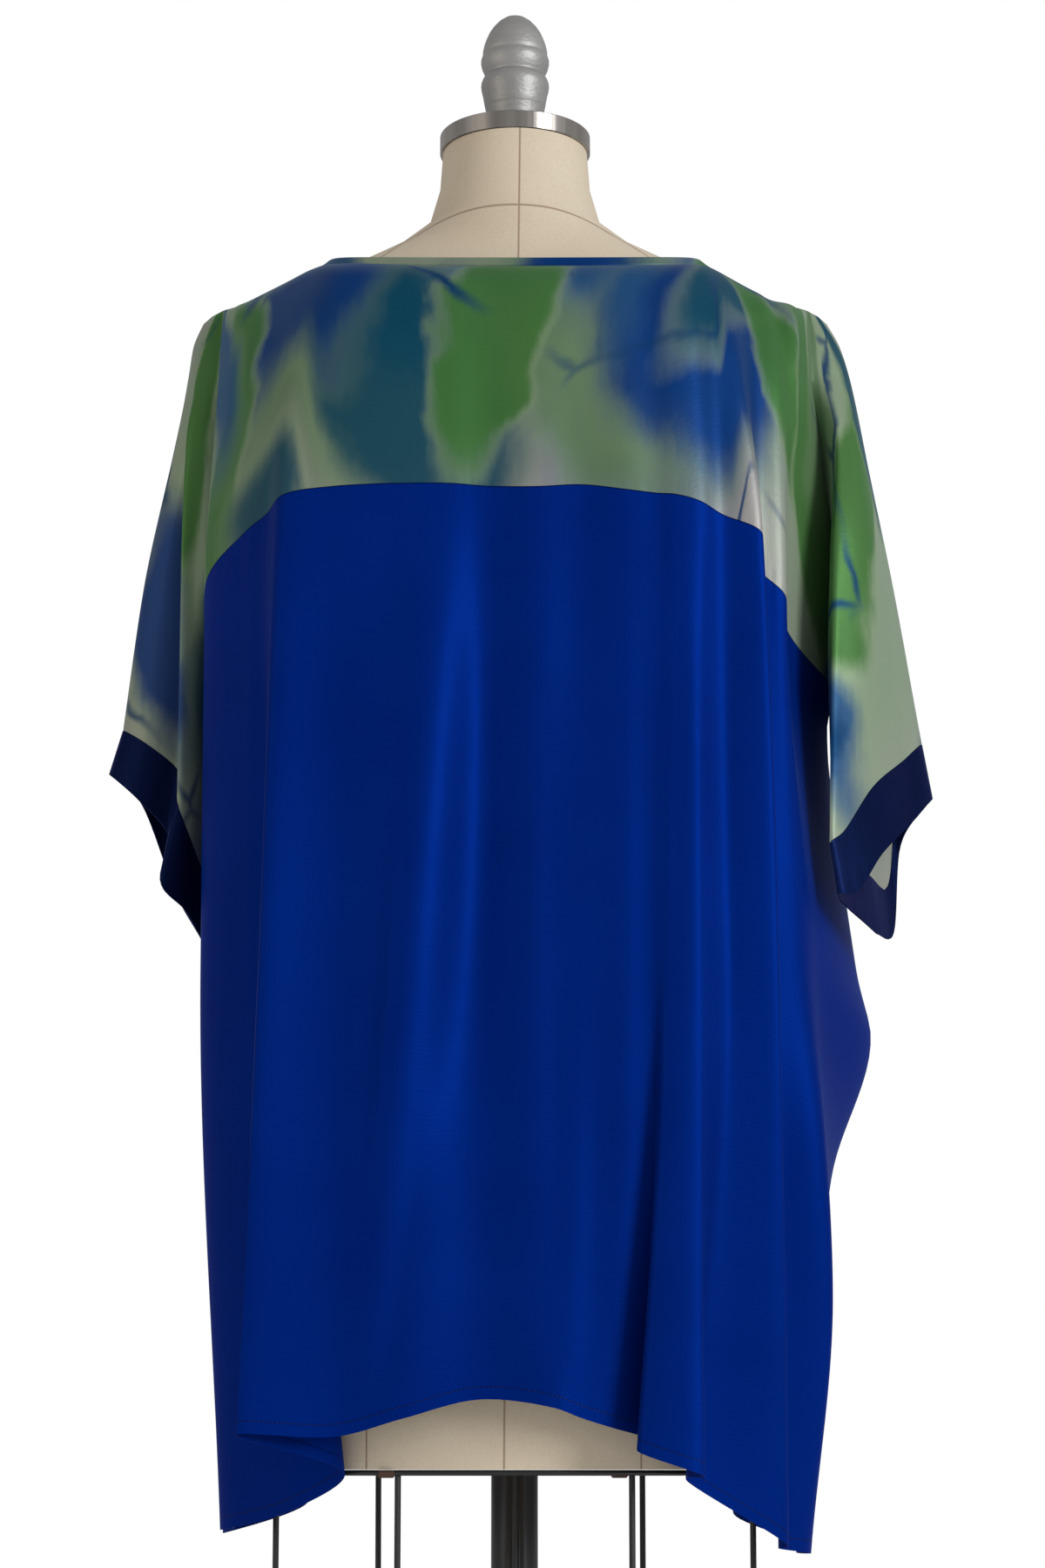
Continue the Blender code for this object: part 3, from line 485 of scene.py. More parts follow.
# ==================================================================== drape
# The tunic is cut from wide rectangles of silk and hangs from the shoulders, so each fold is a line
# that falls from the neckline or the sleeve's top edge to the hem.  All its pieces share these lines.

# In metres: the slit between two sewn pieces, a point's step back where they meet under the arm,
# the silk's thickness, the solid's wall, how far the silk's middle stays off the torso, and how far
# out it hangs free.
GAP = 0.0003
UNDERARM_STEP = 0.0012
CLOTH = 0.0006
CAD_WALL = 0.0015
STAND_OFF = CAD_WALL * 0.5 + 0.0004
FREE_DISTANCE = 0.08
# In millimetres, across from the middle, forward of it and above the torso's rim, as in the tables.
NECK_END_X = 140
NECK_BACK_Y = -91
NECK_FRONT_Y = 84
NECK_BACK_Z = 804
NECK_FRONT_Z = 780
NECK_SQUARENESS = 2.5
NECK_DROP_POWER = 1.6
WAIST_Z = 330
SHOULDER_CURVE = ((0.04, 0.30), (0.12, 0.54), (0.42, 0.84))
ARMPIT_DROP = 30
ARMPIT_SPREAD = 5
CAP_Z = 748
CAP_IN_X = 206
CAP_OUT_X = {-1: 229, 1: 235}
CAP_DEPTH = 22
TIP_DROP = 0.40
TIP_SWELL = 2.6
# Grid columns and rows to each cell of the tables, then rows in each piece.
FINER = 4
ROW_FINER = 5
YOKE_ROWS = 8 * ROW_FINER
SLEEVE_ROWS = 3 * ROW_FINER
BODY_ROWS = 13 * ROW_FINER
CUFF_ROWS = 8
BINDING_ROWS = 6
# The binding's width in metres, how upright it stands and how it leans at the shoulders; how close
# the first rows lie, how fast a shift at a seam dies away, and the metres in which a crease does.
BINDING_WIDTH = 0.0072
BINDING_UPRIGHT = 1.6
BINDING_END_RISE = (0.9, 0.42)
TOP_EASE = 1.25
SEAM_EASE_POWER = 1.5
CREASE_FADE = 0.015
Drape = namedtuple("Drape", "name cells top_x seam_x seam_y seam_z waist_x waist_y hem_x hem_y hem_z")
BACK = [
    Drape("side_left",     2, -205, -200,   -2, 528, -193,    4, -186,    8,  -38),
    Drape("crest_left",    3, -201, -210,  -54, 590, -210,  -42, -193,  -20,  -39),
    Drape("panel_left",    3, -182, -180,  -98, 616, -172,  -92, -146,  -70,  -27),
    Drape("valley_left",   3, -162, -164, -117, 624, -144, -112, -108, -103,   -3),
    Drape("fold_left",     3, -140, -153, -134, 632, -162, -150, -174, -154,   21),
    Drape("lee_left",      3, -118, -120, -141, 636, -112, -146, -112, -148,   20),
    Drape("ridge_left",    2,  -50,  -46, -142, 638,  -58, -160,  -70, -153,   31),
    Drape("valley_centre", 2,  -18,  -18, -138, 637,  -20, -143,  -22, -146,   43),
    Drape("swell_centre",  2,   15,   15, -141, 636,   18, -151,   24, -150,   38),
    Drape("valley_right",  2,   44,   45, -138, 638,   46, -143,   44, -144,   31),
    Drape("ridge_right",   2,   72,   74, -141, 634,   72, -147,   64, -138,   25),
    Drape("tuck_in",       2,   90,   94, -139, 632,   92, -142,   92, -125,   17),
    Drape("tuck_edge",     2,  102,  106, -140, 631,  101, -148,   77, -158,   11),
    Drape("fold_inner",    2,  118,  122, -138, 627,  121, -153,  118, -160,   -4),
    Drape("hollow_inner",  3,  128,  137, -130, 620,  138, -132,  109, -122,   -7),
    Drape("fold_mid",      3,  140,  163, -129, 608,  172, -131,  175,  -88,  -48),
    Drape("hollow_mid",    2,  162,  161, -108, 590,  166, -111,  170,  -72,  -50),
    Drape("fold_outer",    3,  180,  180, -101, 572,  189,  -96,  190,  -50,  -53),
    Drape("hollow_outer",  3,  197,  181,  -82, 556,  202,  -68,  193,  -34,  -54),
    Drape("side_right",    0,  205,  219,  -10, 528,  235,   26,  186,   -8,  -54),
]
FRONT = [
    Drape("side_left",     3, -205, -200,   -2, 528, -193,    4, -186,    8,  -38),
    Drape("crest_left",    3, -199, -197,   50, 585, -211,   42, -195,   32,  -42),
    Drape("hollow_left",   3, -180, -172,   88, 612, -158,   92, -142,   86,  -22),
    Drape("fold_left",     3, -140, -148,  124, 634, -166,  136, -172,  140,    0),
    Drape("lee_left",      3, -116, -120,  142, 646, -112,  138, -106,  132,   12),
    Drape("bust_left",     3,  -84,  -86,  160, 658,  -80,  168,  -86,  170,   30),
    Drape("valley_centre", 3,  -26,  -25,  152, 668,  -28,  148,  -25,  146,   40),
    Drape("swell_centre",  2,   25,   25,  154, 668,   30,  160,   38,  164,   38),
    Drape("valley_right",  2,   58,   60,  154, 664,   62,  150,   66,  146,   30),
    Drape("bust_right",    3,   88,   92,  160, 658,   92,  170,  100,  172,   22),
    Drape("lee_right",     3,  116,  124,  140, 645,  118,  136,  112,  128,    5),
    Drape("fold_right",    3,  140,  152,  122, 630,  172,  132,  170,  132,  -12),
    Drape("hollow_right",  3,  180,  180,   88, 600,  178,   92,  150,   84,  -30),
    Drape("crest_right",   3,  199,  206,   48, 570,  232,   62,  196,   34,  -50),
    Drape("side_right",    0,  205,  219,  -10, 528,  235,   26,  186,   -8,  -54),
]
# Extra points that lines of the right side pass between waist and hem, where the cloth billows.
Bend = namedtuple("Bend", "face name x y z")
BENDS = [
    Bend("back",  "fold_outer",   199, -94, 220),
    Bend("back",  "fold_outer",   205, -80, 110),
    Bend("back",  "hollow_outer", 204, -64, 220),
    Bend("back",  "hollow_outer", 205, -58, 110),
    Bend("back",  "side_right",   244,  28, 292),
    Bend("back",  "side_right",   213,  14, 190),
    Bend("back",  "side_right",   205,   4, 110),
    Bend("front", "crest_right",  234,  60, 292),
    Bend("front", "crest_right",  212,  50, 190),
]
# The sleeves hang from the shoulder tip.  Rows run from the underarm line out to the overarm seam,
# each with its place at 700 and at 600 mm, at the cuff seam and at the mouth's edge.
HIGH_Z = 700
LOW_Z = 600
Hang = namedtuple("Hang", "name cells top_x high_x high_y low_x low_y "
                          "cuff_x cuff_y cuff_z rim_x rim_y rim_z")
LEFT_BACK = [
    Hang("underarm",   1, -205, -204, -24, -203, -26, -212,   4, 396, -214,   4, 356),
    Hang("lobe_near",  2, -208, -217, -27, -219, -24, -220, -20, 420, -223, -20, 372),
    Hang("lobe_crest", 2, -210, -227, -24, -229, -26, -229, -26, 446, -239, -28, 388),
    Hang("valley",     2, -212, -225,  -6, -224,   0, -230,  -6, 470, -237,  -9, 426),
    Hang("outer",      2, -215, -232,   0, -243,   0, -251, -10, 488, -258, -13, 450),
    Hang("overarm",    0, -219, -239,   8, -259,  12, -270,   4, 501, -279,   4, 470),
]
LEFT_FRONT = [
    Hang("underarm",   2, -205, -204,  26, -203,  20, -212,   4, 396, -214,   4, 356),
    Hang("mid",        3, -210, -222,  34, -230,  40, -235,  44, 434, -237,  46, 396),
    Hang("outer",      3, -215, -232,  26, -246,  36, -255,  32, 492, -261,  32, 457),
    Hang("overarm",    0, -219, -239,   8, -259,  12, -270,   4, 501, -279,   4, 470),
]
RIGHT_BACK = [
    Hang("underarm",   1,  205,  211, -26,  221, -21,  240, -22, 396,  245, -20, 356),
    Hang("near_edge",  1,  208,  221, -46,  214, -78,  209, -82, 408,  214, -80, 374),
    Hang("near_turn",  2,  210,  226, -44,  222, -77,  218, -77, 416,  226, -74, 376),
    Hang("near_panel", 2,  212,  234, -40,  240, -64,  240, -58, 450,  246, -56, 405),
    Hang("outer",      2,  215,  241, -20,  254, -30,  264, -26, 474,  270, -24, 432),
    Hang("overarm",    0,  219,  243,   0,  262,   0,  280,   0, 490,  287,   4, 453),
]
RIGHT_FRONT = [
    Hang("underarm",   2,  205,  211,  26,  221,  21,  240, -22, 396,  245, -20, 356),
    Hang("lip",        3,  209,  228,  38,  238,  42,  256,  16, 394,  258,   6, 358),
    Hang("outer",      3,  214,  239,  30,  252,  36,  267,  31, 466,  269,  28, 430),
    Hang("overarm",    0,  219,  243,   0,  262,   0,  280,   0, 490,  287,   4, 453),
]


def ridge_height(x):
    """Height of the cloth over the shoulder's ridge at x, mm above the rim."""
    knots = [(60, 862), (95, 845), (140, 826), (180, 808.5), (205, 801.5), (213, 797), (219, 791.5)]
    distance = abs(x)
    for (x0, z0), (x1, z1) in zip(knots, knots[1:]):
        if distance <= x1:
            break
    return z0 + (z1 - z0) * (distance - x0) / (x1 - x0)


def top_point(x, face):
    """Where a line starts: on the neckline, or on the shoulder's ridge outside it."""
    if abs(x) >= NECK_END_X:
        return Vector((x, 0, ridge_height(x)))
    round_share = (1 - (abs(x) / NECK_END_X) ** NECK_SQUARENESS) ** (1 / NECK_SQUARENESS)
    depth, low = (NECK_BACK_Y, NECK_BACK_Z) if face == "back" else (NECK_FRONT_Y, NECK_FRONT_Z)
    end_z = ridge_height(NECK_END_X)
    return Vector((x, depth * round_share, end_z + (low - end_z) * round_share ** NECK_DROP_POWER))


def body_knots(row, face):
    """The points that one line of the body passes through, from the neckline or ridge to the hem."""
    top = top_point(row.top_x, face)
    seam = Vector((row.seam_x, row.seam_y, row.seam_z))
    knots = [top]
    for drop, reach in SHOULDER_CURVE:
        knot = top.lerp(seam, drop)
        knot.y = top.y + reach * (seam.y - top.y)
        knots.append(knot)
    knots.append(seam)
    if row.name.startswith("side"):
        inward = -math.copysign(ARMPIT_SPREAD, row.seam_x)
        knots.append(seam + Vector((inward, 0, -ARMPIT_DROP)))
    knots.append(Vector((row.waist_x, row.waist_y, WAIST_Z)))
    bends = [bend for bend in BENDS if (bend.face, bend.name) == (face, row.name)]
    knots += [Vector((bend.x, bend.y, bend.z)) for bend in bends]
    knots.append(Vector((row.hem_x, row.hem_y, row.hem_z)))
    return knots


def sleeve_knots(rows, row, underarm):
    """The sleeve line; the one at the underarm passes through the seam's crossing."""
    share = rows.index(row) / (len(rows) - 1)
    top = Vector((row.top_x, 0, ridge_height(row.top_x)))
    turn = 0.5 * math.pi * share
    side = -1 if row.top_x < 0 else 1
    face = 1 if row.high_y > 0 else -1
    cap_x = CAP_IN_X + (CAP_OUT_X[side] - CAP_IN_X) * math.sin(turn)
    shoulder = Vector((side * cap_x, face * CAP_DEPTH * math.cos(turn), CAP_Z))
    tip = top.lerp(shoulder, TIP_DROP)
    tip.x += side * TIP_SWELL * math.sin(turn)
    high = Vector((row.high_x, row.high_y, HIGH_Z))
    knots = [top, tip, shoulder, high, Vector((row.low_x, row.low_y, LOW_Z))]
    if row.name == "underarm":
        crossing = Vector((underarm.seam_x, underarm.seam_y, underarm.seam_z))
        knots += [crossing, crossing + Vector((side * ARMPIT_SPREAD, 0, -ARMPIT_DROP))]
    knots.append(Vector((row.cuff_x, row.cuff_y, row.cuff_z)))
    return knots


# Height at which each line passes from the yoke's own grid into the lower sleeve's.
SLEEVE_SPLIT_Z = {
    "underarm": 528, "lobe_near": 535, "near_edge": 538, "near_turn": 542, "mid": 540, "lip": 540,
    "lobe_crest": 545, "near_panel": 548, "valley": 552, "outer": 556, "overarm": 560,
}


def column_points(knots, z_from, z_to, rows, ease=1.0):
    """Evenly stepped points down one line; ease above 1 packs the first steps closer."""
    steps = [(i / rows) ** ease for i in range(rows + 1)]
    return [along_line(knots, z_from + (z_to - z_from) * step) for step in steps]


def smooth_loop(columns, cells, corners=()):
    """Fill in grid columns between the table's lines with a closed spline across each level."""
    count = len(columns)
    filled = []
    for i in range(count):
        before, here, after, beyond = [columns[(i + step) % count] for step in (-1, 0, 1, 2)]
        if i in corners:
            before = [2 * a - b for a, b in zip(here, after)]
        if (i + 1) % count in corners:
            beyond = [2 * b - a for a, b in zip(here, after)]
        for cell in range(cells[i]):
            share = cell / cells[i]
            levels = zip(before, here, after, beyond)
            filled.append([spline_between(*level, share) for level in levels])
    return filled


class Cloth:
    """All sheets of the tunic as grids of shared points, with each sheet's flat-cut coordinates."""

    def __init__(self):
        self.points = []
        self.index = {}
        self.grids = {}
        self.flat = {}
        self.underarms = []

    def vertex(self, point):
        """Number of the shared point at a place, so that sewn pieces meet in the same points."""
        key = tuple(round(c * 1e4) for c in point)
        if key not in self.index:
            self.index[key] = len(self.points)
            self.points.append(Vector(point))
        return self.index[key]

    def add_grid(self, name, columns):
        """columns run so that, seen from outside, the next column is on the right."""
        self.grids[name] = [[self.vertex(p) for p in column] for column in columns]

    def lay_flat(self, name, across_row, start=None):
        """Flat-cut metres for each point: across along one row, down along each column."""
        grid = self.grids[name]
        across = [0.0]
        for left, right in zip(grid, grid[1:]):
            step = self.points[right[across_row]] - self.points[left[across_row]]
            across.append(across[-1] + step.length)
        middle = across[-1] / 2
        flat = []
        for k, column in enumerate(grid):
            u, v = (across[k] - middle, 0.0) if start is None else start[column[0]]
            line = [(u, v)]
            for a, b in zip(column, column[1:]):
                v += (self.points[b] - self.points[a]).length
                line.append((u, v))
            flat.append(line)
        self.flat[name] = flat

    def quads(self, name):
        """Every four-sided cell of a grid as its (column, row) corners."""
        grid = self.grids[name]
        for c in range(len(grid) - 1):
            for r in range(len(grid[c]) - 1):
                yield (c, r), (c, r + 1), (c + 1, r + 1), (c + 1, r)


def fine_width(rows):
    """How many columns of a grid a table's lines span."""
    return sum(row.cells for row in rows) * FINER


def loop_cells(back, front):
    """How many columns follow each line of a tube, along the back and home along the front."""
    return [row.cells * FINER for row in back[:-1] + front[-2::-1]]


def hang_cloth():
    """Lay out the tunic's lines and return its shared grids in table units."""
    cloth = Cloth()
    sides = {"left": (LEFT_BACK, LEFT_FRONT, BACK[0]), "right": (RIGHT_BACK, RIGHT_FRONT, BACK[-1])}
    upper, cells, corners = [], [], []

    def add_upper(knots, low_z, count):
        """Add one line of the yoke and how many cells follow it."""
        upper.append(column_points(knots, knots[0].z, low_z, YOKE_ROWS, TOP_EASE))
        cells.append(count * FINER)

    def add_sleeve_half(rows, underarm, outward):
        """Add the lines over one half of a sleeve, from the underarm outward or back to it."""
        order = rows[1:] if outward else rows[-1:0:-1]
        for row in order:
            here = rows.index(row)
            count = row.cells if outward else rows[here - 1].cells
            if outward and row is rows[-1]:
                continue
            add_upper(sleeve_knots(rows, row, underarm), SLEEVE_SPLIT_Z[row.name], count)

    def add_face(face, table, left, right, walk):
        """Add the back's or the front's lines with the sleeve halves at both ends."""
        rows = table if walk == 1 else table[::-1]
        first, last = (left, right) if walk == 1 else (right, left)
        add_sleeve_half(first[0], first[1], outward=False)
        for k, row in enumerate(rows):
            sleeve = first[0] if k == 0 else last[0]
            if k in (0, len(rows) - 1):
                knots = sleeve_knots(sleeve, sleeve[0], row)
                corners.append(len(upper))
            else:
                knots = body_knots(row, face)
            count = row.cells if walk == 1 else (rows[k + 1].cells if k + 1 < len(rows) else 0)
            if k == len(rows) - 1:
                count = sleeve[0].cells
            add_upper(knots, row.seam_z, count)
        add_sleeve_half(last[0], last[1], outward=True)

    add_face("back", BACK, (LEFT_BACK, BACK[0]), (RIGHT_BACK, BACK[-1]), 1)
    split = len(upper)
    add_face("front", FRONT, (LEFT_FRONT, BACK[0]), (RIGHT_FRONT, BACK[-1]), -1)
    filled = smooth_loop(upper, cells, corners)
    back_end = sum(cells[:split])
    for k, column in enumerate(filled):
        column[0] = top_point(column[0].x, "back" if k <= back_end else "front")
    cloth.add_grid("yoke_back", filled[:back_end + 1])
    cloth.add_grid("yoke_front", filled[back_end:] + filled[:1])
    for row in (BACK[0], BACK[-1]):
        cloth.underarms.append(cloth.vertex(Vector((row.seam_x, row.seam_y, row.seam_z))))

    def seam_row(face):
        """Last level of the yoke over the body's columns, in walking order."""
        if face == "back":
            start, width = fine_width(LEFT_BACK), fine_width(BACK)
        else:
            start, width = fine_width(RIGHT_FRONT) + back_end, fine_width(FRONT)
        return [column[-1] for column in filled[start:start + width + 1]]

    def ease_into(column, target):
        """Bring a line's start onto the sewn edge and let the shift die away down the line."""
        reach = 2 * ROW_FINER
        shift = target - column[0]
        for r in range(min(reach, len(column))):
            share = r / reach
            column[r] = column[r] + shift * (1 - share) ** SEAM_EASE_POWER
        column[0] = target

    lines = [body_knots(row, "back") for row in BACK]
    lines += [body_knots(row, "front") for row in FRONT[-2:0:-1]]
    ends = [row.hem_z for row in BACK + FRONT[-2:0:-1]]
    seam_knot = len(SHOULDER_CURVE) + 1
    loop = [column_points(knots, knots[seam_knot].z, end, BODY_ROWS) for knots, end in zip(lines, ends)]
    body = smooth_loop(loop, loop_cells(BACK, FRONT))
    for column, point in zip(body, seam_row("back") + seam_row("front")[1:-1]):
        ease_into(column, point)
    width = fine_width(BACK)
    cloth.add_grid("body_back", body[:width + 1])
    cloth.add_grid("body_front", body[width:] + body[:1])

    for side, (back, front, underarm) in sides.items():
        walk = -1 if side == "left" else 1
        order = [(row, back) for row in back] + [(row, front) for row in front[-2:0:-1]]
        columns = []
        for row, rows in order:
            knots = sleeve_knots(rows, row, underarm)
            columns.append(column_points(knots, SLEEVE_SPLIT_Z[row.name], row.cuff_z, SLEEVE_ROWS))
        counts = loop_cells(back, front)
        tube = smooth_loop(columns, counts, [0])
        rims = smooth_loop([[Vector((row.rim_x, row.rim_y, row.rim_z))] for row, _ in order], counts, [0])
        start, over = fine_width(LEFT_BACK), 0
        if side == "right":
            start, over = start + fine_width(BACK), back_end
        back_width = fine_width(back)
        for k in range(len(tube)):
            if k <= back_width:
                source = filled[start + k * walk]
            else:
                source = filled[(over + (k - back_width) * walk) % len(filled)]
            ease_into(tube[k], source[-1])
        band = []
        for column, rim in zip(tube, rims):
            band.append([column[-1].lerp(rim[0], r / CUFF_ROWS) for r in range(CUFF_ROWS + 1)])
        for name, grid in (("sleeve", tube), ("cuff", band)):
            whole = grid + grid[:1]
            back_part, front_part = whole[:back_width + 1], whole[back_width:]
            if walk == -1:
                back_part, front_part, whole = back_part[::-1], front_part[::-1], whole[::-1]
            if name == "cuff":
                cloth.add_grid("cuff_" + side, whole)
            else:
                cloth.add_grid("sleeve_back_" + side, back_part)
                cloth.add_grid("sleeve_front_" + side, front_part)

    binding, tops = [], []
    for column in filled:
        top, below = column[0], column[ROW_FINER]
        at_end = abs(abs(top.x) - NECK_END_X) < 0.01
        if abs(top.x) > NECK_END_X + 0.01 or (at_end and any((top - done).length < 1 for done in tops)):
            continue
        over_shoulder = (abs(top.x) / NECK_END_X) ** 10
        upright = ((top - below).normalized() + Vector((0, 0, BINDING_UPRIGHT))).normalized()
        along_ridge = Vector((-math.copysign(BINDING_END_RISE[0], top.x), 0, BINDING_END_RISE[1]))
        rise = upright.lerp(along_ridge, over_shoulder).normalized()
        tops.append(top)
        steps = [BINDING_WIDTH / MM * (1 - r / BINDING_ROWS) for r in range(BINDING_ROWS + 1)]
        binding.append([top + rise * step for step in steps])
    cloth.add_grid("neck_binding", binding + binding[:1])
    return cloth


def settle(cloth, torso_tree):
    """Lift any point that would sink into the torso, in a few small moves."""
    for k, place in enumerate(cloth.points):
        for _ in range(3):
            near, normal, _, distance = torso_tree.find_nearest(place)
            if (place - near).dot(normal) >= STAND_OFF or distance > FREE_DISTANCE:
                break
            place = near + normal * STAND_OFF
        cloth.points[k] = place


def point_normals(points, faces):
    """Normals weighted by each face's angle at the point, so both sides of a fold count alike."""
    normals = {}
    for face in faces:
        for k, corner in enumerate(face):
            here, after, before = points[corner], points[face[(k + 1) % 4]], points[face[k - 1]]
            a, b = after - here, before - here
            if a.length < 1e-7 or b.length < 1e-7:
                continue
            normals[corner] = normals.get(corner, Vector()) + a.cross(b).normalized() * a.angle(b)
    return {corner: normal.normalized() for corner, normal in normals.items()}


torso_tree = BVHTree.FromPolygons([v.co for v in linen_torso.data.vertices],
                                  [p.vertices for p in linen_torso.data.polygons])
cloth = hang_cloth()
cloth.points = [Vector((p.x * MM, p.y * MM, RIM_Z + p.z * MM)) for p in cloth.points]
settle(cloth, torso_tree)
every_face = []
for grid_name, grid in cloth.grids.items():
    for (c0, r0), (c1, r1), (c2, r2), (c3, r3) in cloth.quads(grid_name):
        every_face.append((grid[c0][r0], grid[c1][r1], grid[c2][r2], grid[c3][r3]))
for grid_name in ("body_back", "body_front", "cuff_left", "cuff_right", "neck_binding"):
    cloth.lay_flat(grid_name, 0)
for face in ("back", "front"):
    cloth.lay_flat("yoke_" + face, -1)
    grid = cloth.grids["yoke_" + face]
    ends = {column[-1]: place[-1] for column, place in zip(grid, cloth.flat["yoke_" + face])}
    for side in ("left", "right"):
        cloth.lay_flat("sleeve_" + face + "_" + side, 0, ends)

# Soft creases on top of the folds, by grid, in metres of the flat cut: across and down where each
# starts and ends, how far its middle bows, half width, height (minus for a trough).
Crease = namedtuple("Crease", "start_u start_v end_u end_v bow width height")
CREASES = {
    "body_back": [
        Crease(-0.170, 0.015, -0.176, 0.560,  0.006, 0.016,  0.0036),
        Crease(-0.128, 0.060, -0.126, 0.540, -0.006, 0.020, -0.0022),
        Crease(-0.052, 0.020, -0.092, 0.590,  0.012, 0.020,  0.0046),
        Crease(-0.016, 0.090, -0.060, 0.590,  0.014, 0.016, -0.0052),
        Crease( 0.020, 0.120,  0.018, 0.590,  0.004, 0.014, -0.0030),
        Crease( 0.044, 0.120,  0.040, 0.590,  0.003, 0.015,  0.0030),
        Crease( 0.056, 0.010,  0.062, 0.420, -0.004, 0.018,  0.0028),
        Crease( 0.096, 0.010,  0.094, 0.590,  0.005, 0.012,  0.0040),
        Crease( 0.130, 0.015,  0.124, 0.590,  0.002, 0.011, -0.0046),
        Crease( 0.158, 0.060,  0.152, 0.560, -0.004, 0.014,  0.0034),
        Crease( 0.192, 0.050,  0.186, 0.520, -0.005, 0.015, -0.0026),
    ],
    "body_front": [
        Crease(-0.140, 0.020, -0.160, 0.520,  0.008, 0.018,  0.0036),
        Crease(-0.050, 0.180, -0.078, 0.500,  0.012, 0.021, -0.0032),
        Crease( 0.036, 0.040,  0.030, 0.430, -0.010, 0.019,  0.0030),
        Crease( 0.112, 0.200,  0.090, 0.540,  0.006, 0.016, -0.0034),
    ],
    "yoke_back": [
        Crease(-0.262, 0.020, -0.212, 0.165,  0.006, 0.012,  0.0022),
        Crease( 0.196, 0.012,  0.214, 0.130, -0.004, 0.008, -0.0024),
        Crease( 0.214, 0.010,  0.228, 0.160, -0.003, 0.009,  0.0026),
    ],
    "yoke_front": [
        Crease(-0.205, 0.014, -0.222, 0.150,  0.004, 0.010, -0.0022),
        Crease( 0.208, 0.016,  0.226, 0.155,  0.005, 0.011,  0.0022),
    ],
}


def press_creases(normals):
    """Move each grid's inner points along their normals; edges and seams stay where they are sewn."""
    offsets = {}
    placed = [(grid_name, crease) for grid_name, creases in CREASES.items() for crease in creases]
    for grid_name, crease in placed:
        flat = cloth.flat[grid_name]
        for column, places in zip(cloth.grids[grid_name], flat):
            end = places[-1][1]
            for point, (u, v) in zip(column, places):
                t = (v - crease.start_v) / (crease.end_v - crease.start_v)
                if not 0 < t < 1:
                    continue
                swing = math.sin(math.pi * t)
                line = crease.start_u + (crease.end_u - crease.start_u) * t + crease.bow * swing
                beside = (u - line) / crease.width
                edge = min(1.0, min(v, end - v, u - flat[0][0][0], flat[-1][0][0] - u) / CREASE_FADE)
                if abs(beside) > 3 or edge <= 0:
                    continue
                rise = swing ** 0.7 * math.exp(-beside * beside) * edge * edge * (3 - 2 * edge)
                offsets[point] = offsets.get(point, 0.0) + crease.height * rise
    for point, offset in offsets.items():
        cloth.points[point] = cloth.points[point] + normals[point] * offset


press_creases(point_normals(cloth.points, every_face))
settle(cloth, torso_tree)
cloth_normals = point_normals(cloth.points, every_face)
# Along the shoulder's fold the cloth faces up and a little outward, whatever its two sides do.
SHOULDER_FOLD_LOW = 0.788
SHOULDER_FOLD_TILT = 0.42
for k, point in enumerate(cloth.points):
    on_fold = abs(point.y) < 1e-4 and abs(point.x) > NECK_END_X * MM - 1e-4
    if on_fold and point.z > RIM_Z + SHOULDER_FOLD_LOW:
        cloth_normals[k] = Vector((math.copysign(SHOULDER_FOLD_TILT, point.x), 0, 1)).normalized()


